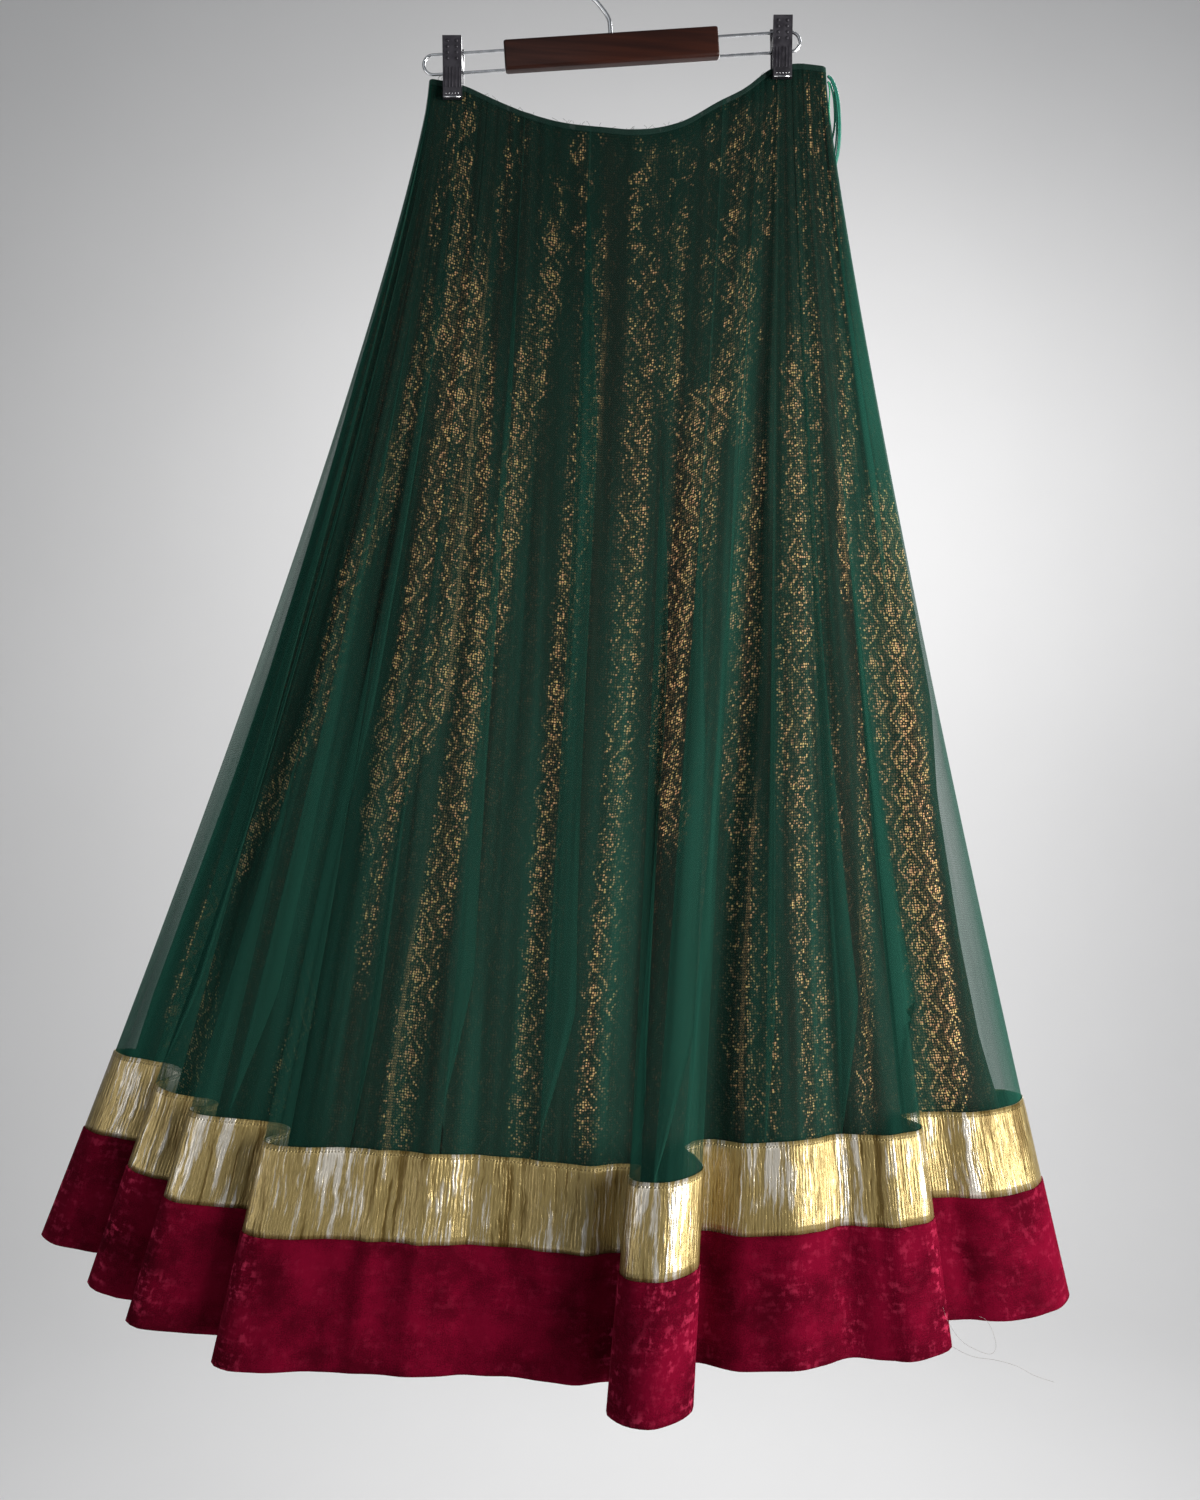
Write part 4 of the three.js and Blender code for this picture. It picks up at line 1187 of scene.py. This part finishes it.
def bar_object():
    """The bar: a rounded section along X whose ends are rounded too."""
    sections = [(x - BAR_LENGTH / 2, inset) for x, inset in BAR_ENDS]
    sections += [(-x, inset) for x, inset in reversed(sections)]
    vertices = []
    for x, inset in sections:
        for quarter, (side, level) in enumerate([(1, 1), (-1, 1), (-1, -1), (1, -1)]):
            y = (BAR_DEPTH / 2 - BAR_ROUND) * side
            z = (BAR_HEIGHT / 2 - BAR_ROUND) * level + BAR_Z
            for k in range(CORNER_STEPS + 1):
                angle = math.pi / 2 * (quarter + k / CORNER_STEPS)
                radius = BAR_ROUND - inset
                vertices.append(tilted(x, y + radius * math.cos(angle), z + radius * math.sin(angle)))
    shape = (len(sections), 4 * (CORNER_STEPS + 1))
    return mesh_object("hanger_wooden_bar", vertices, ring_faces(*shape) + end_faces(*shape))


def joined(name, parts):
    """One object from (vertices, faces) parts."""
    vertices, faces = [], []
    for part_vertices, part_faces in parts:
        faces += [[i + len(vertices) for i in face] for face in part_faces]
        vertices += list(part_vertices)
    return mesh_object(name, vertices, faces)


def dome(centre, radius, height, sign):
    """A low dome on a plane of constant Y, bulging towards sign, its foot sunk a little."""
    vertices = []
    for r in range(DOME_RINGS):
        level = math.pi / 2 * r / DOME_RINGS
        across = radius * math.cos(level)
        out = height * math.sin(level) - SINK
        for k in range(DOME_SIDES):
            angle = 2 * math.pi * k / DOME_SIDES
            place = (across * math.cos(angle), sign * out, across * math.sin(angle))
            vertices.append(tuple(c + p for c, p in zip(centre, place)))
    vertices.append((centre[0], centre[1] + sign * (height - SINK), centre[2]))
    top = len(vertices) - 1
    base = top - DOME_SIDES
    faces = ring_faces(DOME_RINGS, DOME_SIDES)
    faces += [(base + k, base + (k + 1) % DOME_SIDES, top) for k in range(DOME_SIDES)]
    faces.append(tuple(range(DOME_SIDES))[::-1])
    return vertices, faces


def rib(x, top, bottom, sign):
    """An upright rounded rib down a jaw's sloping face, between two depths below the clip's top."""
    (y_top, z_top), (y_bottom, z_bottom) = top, bottom
    foot, flank, crest = -0.4 * RIB_HEIGHT, 0.7 * RIB_HEIGHT, RIB_HEIGHT
    section = [(-1, foot), (-0.7, flank), (0, crest), (0.7, flank), (1, foot)]
    levels = [
        (z_top, y_top, 0.2), (z_top - RIB_END, y_top, 1),
        (z_bottom + RIB_END, y_bottom, 1), (z_bottom, y_bottom, 0.2),
    ]
    vertices = [
        (x + across * RIB_HALF, sign * (y + out * (rise if out > 0 else 1)), z)
        for z, y, rise in levels for across, out in section
    ]
    return vertices, ring_faces(len(levels), len(section), closed=False)


def jaw_y(depth):
    """How far a jaw's outer face is from the clip's middle, at a depth below its top."""
    return float(np.interp(depth, JAW_DEPTHS, JAW_FACES))


def make_clip_grips(name, x, top):
    """The grip bumps on the jaws' tails and the ribs below them, on both jaws."""
    parts = []
    ends = [(jaw_y(depth), top - depth) for depth in (RIB_TOP, RIB_BOTTOM)]
    for sign in (-1, 1):
        for depth in BUMP_DEPTHS:
            for side in (-1, 1):
                centre = (x + side * BUMP_ASIDE, sign * jaw_y(depth), top - depth)
                parts.append(dome(centre, BUMP_RADIUS, BUMP_HEIGHT, sign))
        for side in range(-2, 3):
            parts.append(rib(x + side * RIB_SPACING, *ends, sign))
    dress(joined(f"clip_{name}_grips", parts), "clip", MATERIALS["clip"])


def block(centre, size):
    """A box, as vertices and faces."""
    signs = [(i, j, k) for i in (-0.5, 0.5) for j in (-0.5, 0.5) for k in (-0.5, 0.5)]
    vertices = [tuple(c + a * b for c, a, b in zip(centre, sign, size)) for sign in signs]
    faces = [(0, 1, 3, 2), (4, 6, 7, 5), (0, 4, 5, 1), (2, 3, 7, 6), (0, 2, 6, 4), (1, 5, 7, 3)]
    return vertices, faces


def make_lip_edges(name, x, top):
    """The polished lower edge of each lip, and the row of teeth above it."""
    parts = []
    for sign in (-1, 1):
        edge = (x, sign * LIP_FACE, top - CLIP_HEIGHT + LIP_EDGE / 2)
        parts.append(block(edge, (LIP_WIDTH, LIP_EDGE / 2, LIP_EDGE)))
        for k in range(-2, 3):
            centre = (x + k * TOOTH_SPACING, sign * LIP_FACE, top - CLIP_HEIGHT + TOOTH_UP)
            parts.append(dome(centre, TOOTH_RADIUS, TOOTH_HEIGHT, sign))
    dress(joined(f"clip_{name}_lip_edges", parts), "chrome", MATERIALS["chrome"])


def make_hanger():
    """The bar and wires over their solids; the clips' solids show, with grips and lip edges added."""
    dress(bar_object(), "wood", MATERIALS["wood"], "hanger_bar")
    for name, path, diameter in (
        ("hook", hook_path(), HOOK_DIAMETER),
        ("rail_left", rail_path(-1), RAIL_DIAMETER),
        ("rail_right", rail_path(1), RAIL_DIAMETER),
    ):
        wire = tube_curve(f"hanger_wire_{name}", path, diameter)
        dress(wire, "chrome", MATERIALS["chrome"], f"hanger_{name}")
    for name, (x, top) in CLIPS.items():
        for ending, material in (("", "clip"), ("_lip_front", "lip"), ("_lip_back", "lip")):
            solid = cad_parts[f"clip_{name}{ending}"].data
            solid.materials.clear()
            solid.materials.append(MATERIALS[material])
        make_clip_grips(name, x, top)
        make_lip_edges(name, x, top)


# ---- frayed and loose threads ----


def strand(points, radius, sides=4):
    """A thin strand's tube as vertices and faces."""
    points = [Vector(p) for p in points]
    vertices = []
    for i, point in enumerate(points):
        along = (points[min(i + 1, len(points) - 1)] - points[max(i - 1, 0)]).normalized()
        across = along.orthogonal().normalized()
        over = along.cross(across)
        for k in range(sides):
            angle = 2 * math.pi * k / sides
            vertices.append(tuple(point + radius * (math.cos(angle) * across + math.sin(angle) * over)))
    shape = (len(points), sides)
    return vertices, ring_faces(*shape) + end_faces(*shape)


# The frayed ends at the waist: how many, which of them are long (every ninth), and in millimetres
# how near the waist's ends they come, how high they stand and how far they lean.
FRAYED_ENDS, LONG_END, END_MARGIN = 46, 9, 6
END_RISE, LONG_RISE, END_LEAN = (1.0, 4.5), (6, 9), 1.2
FRAYED_RADIUS, LOOSE_RADIUS = 0.13, 0.14
# Loose threads below the hem's right.
LOOSE_THREADS = [
    [(286, -92, -1200), (290, -95, -1212), (300, -97, -1226), (314, -96, -1235), (326, -94, -1239),
     (331, -92, -1234), (329, -90, -1222), (324, -88, -1213), (318, -87, -1210)],
    [(284, -86, -1226), (296, -88, -1236), (312, -90, -1243), (330, -92, -1245), (348, -92, -1250),
     (364, -90, -1259), (382, -88, -1266)],
]


def make_threads():
    """Short frayed ends along the waist's edge, and two long threads under the hem's right."""
    rng = np.random.default_rng(7)
    parts = []
    for k in range(FRAYED_ENDS):
        x = rng.uniform(WAIST_LEFT + END_MARGIN, WAIST_RIGHT - END_MARGIN)
        side = FRONT if k % 3 else BACK
        _, y, z = waist_points(np.array([x]), np.array([side]), 0, 0)
        lean = rng.uniform(-END_LEAN, END_LEAN)
        rise = rng.uniform(*(END_RISE if k % LONG_END else LONG_RISE))
        foot = Vector((x, y[0], z[0] + GAP + BINDING - 0.4))
        points = [
            foot + Vector((lean * rise * s**2 + 0.6 * math.sin(5 * s + k), side * 0.5 * s, rise * s))
            for s in np.linspace(0, 1, 6)
        ]
        parts.append(strand([p * MM for p in points], FRAYED_RADIUS * MM))
    dress(joined("waist_frayed_threads", parts), "binding", MATERIALS["binding"])
    paths = [smooth_path([Vector(p) * MM for p in route], 8) for route in LOOSE_THREADS]
    loose = joined("hem_loose_threads", [strand(path, LOOSE_RADIUS * MM) for path in paths])
    dress(loose, "velvet", MATERIALS["thread"])


# ---- stage, light and camera ----

PHOTO_SCALE = 0.92 * MM
FOCAL_PIXELS = 1300
PHOTO_LONG_SIDE = 1500
HORIZON_BELOW_HOOK = 0.727
CAMERA_X = -0.0052
CAMERA_DISTANCE = PHOTO_SCALE * FOCAL_PIXELS
SENSOR = 36.0
FLOOR_Z = -2.05
WALL_Y = 2.9
SWEEP = 1.2
STAGE_SIZE = 14.0
STAGE_TOP = 3.5


def make_camera():
    """A level camera at the height of the skirt's middle."""
    data = bpy.data.cameras.new("camera")
    data.sensor_width = SENSOR
    data.lens = SENSOR * FOCAL_PIXELS / PHOTO_LONG_SIDE
    data.clip_start = 0.01
    camera = bpy.data.objects.new("camera", data)
    camera.location = (CAMERA_X, -CAMERA_DISTANCE, -HORIZON_BELOW_HOOK)
    camera.rotation_euler = (math.pi / 2, 0, 0)
    bpy.context.scene.collection.objects.link(camera)
    bpy.context.scene.camera = camera


def area_light(name, place, target, size, power, colour, spread=180, diffuse=True):
    """A soft light at place, turned to target; power in watts, spread in degrees."""
    data = bpy.data.lights.new(name, "AREA")
    data.shape = "RECTANGLE"
    data.size, data.size_y = size
    data.energy = power
    data.color = colour
    data.spread = math.radians(spread)
    light = bpy.data.objects.new(name, data)
    light.location = place
    light.visible_camera = False
    light.visible_diffuse = diffuse
    light.rotation_euler = (Vector(target) - Vector(place)).to_track_quat("-Z", "Y").to_euler()
    bpy.context.scene.collection.objects.link(light)


def make_stage():
    """A pale floor that curves up into a pale wall, far enough behind for the back views."""
    turns = [math.radians(angle) for angle in range(0, 91, 6)]
    profile = [(-STAGE_SIZE, FLOOR_Z)]
    profile += [
        (WALL_Y + SWEEP * (math.sin(a) - 1), FLOOR_Z + SWEEP * (1 - math.cos(a))) for a in turns
    ]
    profile.append((WALL_Y, STAGE_TOP))
    vertices = [(x, y, z) for y, z in profile for x in (-STAGE_SIZE, STAGE_SIZE)]
    sweep = mesh_object("floor", vertices, grid_faces(len(profile), 2, flip=True))
    n = Nodes("floor")
    colour = n.mix(n.noise(n.place(), 2.0), (0.69, 0.69, 0.695), (0.73, 0.73, 0.735))
    sweep.data.materials.append(n.finish(Base_Color=colour, Roughness=0.85))


def make_light():
    """A window at the right, soft light and a gleam from the left, and lights on back and wall."""
    world = bpy.data.worlds.new("studio")
    world.use_nodes = True
    background = world.node_tree.nodes["Background"]
    background.inputs["Color"].default_value = (0.90, 0.93, 0.97, 1)
    background.inputs["Strength"].default_value = 0.21
    bpy.context.scene.world = world
    middle = (0.0, 0.0, -0.75)
    warm, neutral, cool = (1.0, 0.985, 0.96), (1.0, 1.0, 1.0), (0.95, 0.975, 1.0)
    area_light("window", (1.75, -1.05, -0.70), middle, (1.0, 1.8), 30, warm, spread=115)
    area_light("fill", (-1.2, -2.7, 0.6), middle, (2.0, 2.0), 7, cool)
    area_light("gleam", (-1.6, -0.8, -1.0), middle, (0.9, 1.6), 8, (1.0, 0.97, 0.95), diffuse=False)
    area_light("back", (0.9, 2.0, 0.7), middle, (1.6, 1.2), 20, neutral, spread=100)
    area_light("wash", (0.7, 0.8, 0.15), (0.7, WALL_Y, -0.5), (2.8, 1.0), 55, (1.0, 0.99, 0.98))


MATERIALS = {
    "net": net_material(),
    "brocade": brocade_material(),
    "gold": gold_material(),
    "velvet": velvet_material(),
    "satin": thread_material("satin", (0.006, 0.115, 0.080), (0.03, 0.30, 0.21), 0.28, 2.2),
    # A lighter copy of the satin, for a painted highlight.
    "satin highlight": thread_material("satin_highlight", (0.02, 0.30, 0.14), (0.10, 0.60, 0.34), 0.25, 2.2),
    "binding": thread_material("binding", (0.004, 0.014, 0.010), (0.008, 0.032, 0.023), 0.9, 1.6),
    "thread": thread_material("thread", (0.20, 0.16, 0.15), (0.38, 0.34, 0.32), 0.7, 1.6),
    "wood": wood_material(),
    "chrome": metal_material("chrome", (0.62, 0.63, 0.65), (0.82, 0.83, 0.85), 0.16, 1.0),
    "lip": metal_material("lip", (0.060, 0.056, 0.064), (0.110, 0.105, 0.115), 0.34, 0.8),
    "clip": metal_material("clip", (0.030, 0.027, 0.034), (0.052, 0.048, 0.058), 0.40, 0.45),
}

make_camera()
make_loops()
for face in (FRONT, BACK):
    make_skirt(face)
make_loop_strands()
make_hanger()
make_threads()
make_stage()
make_light()
bpy.context.scene.view_settings.view_transform = "Standard"
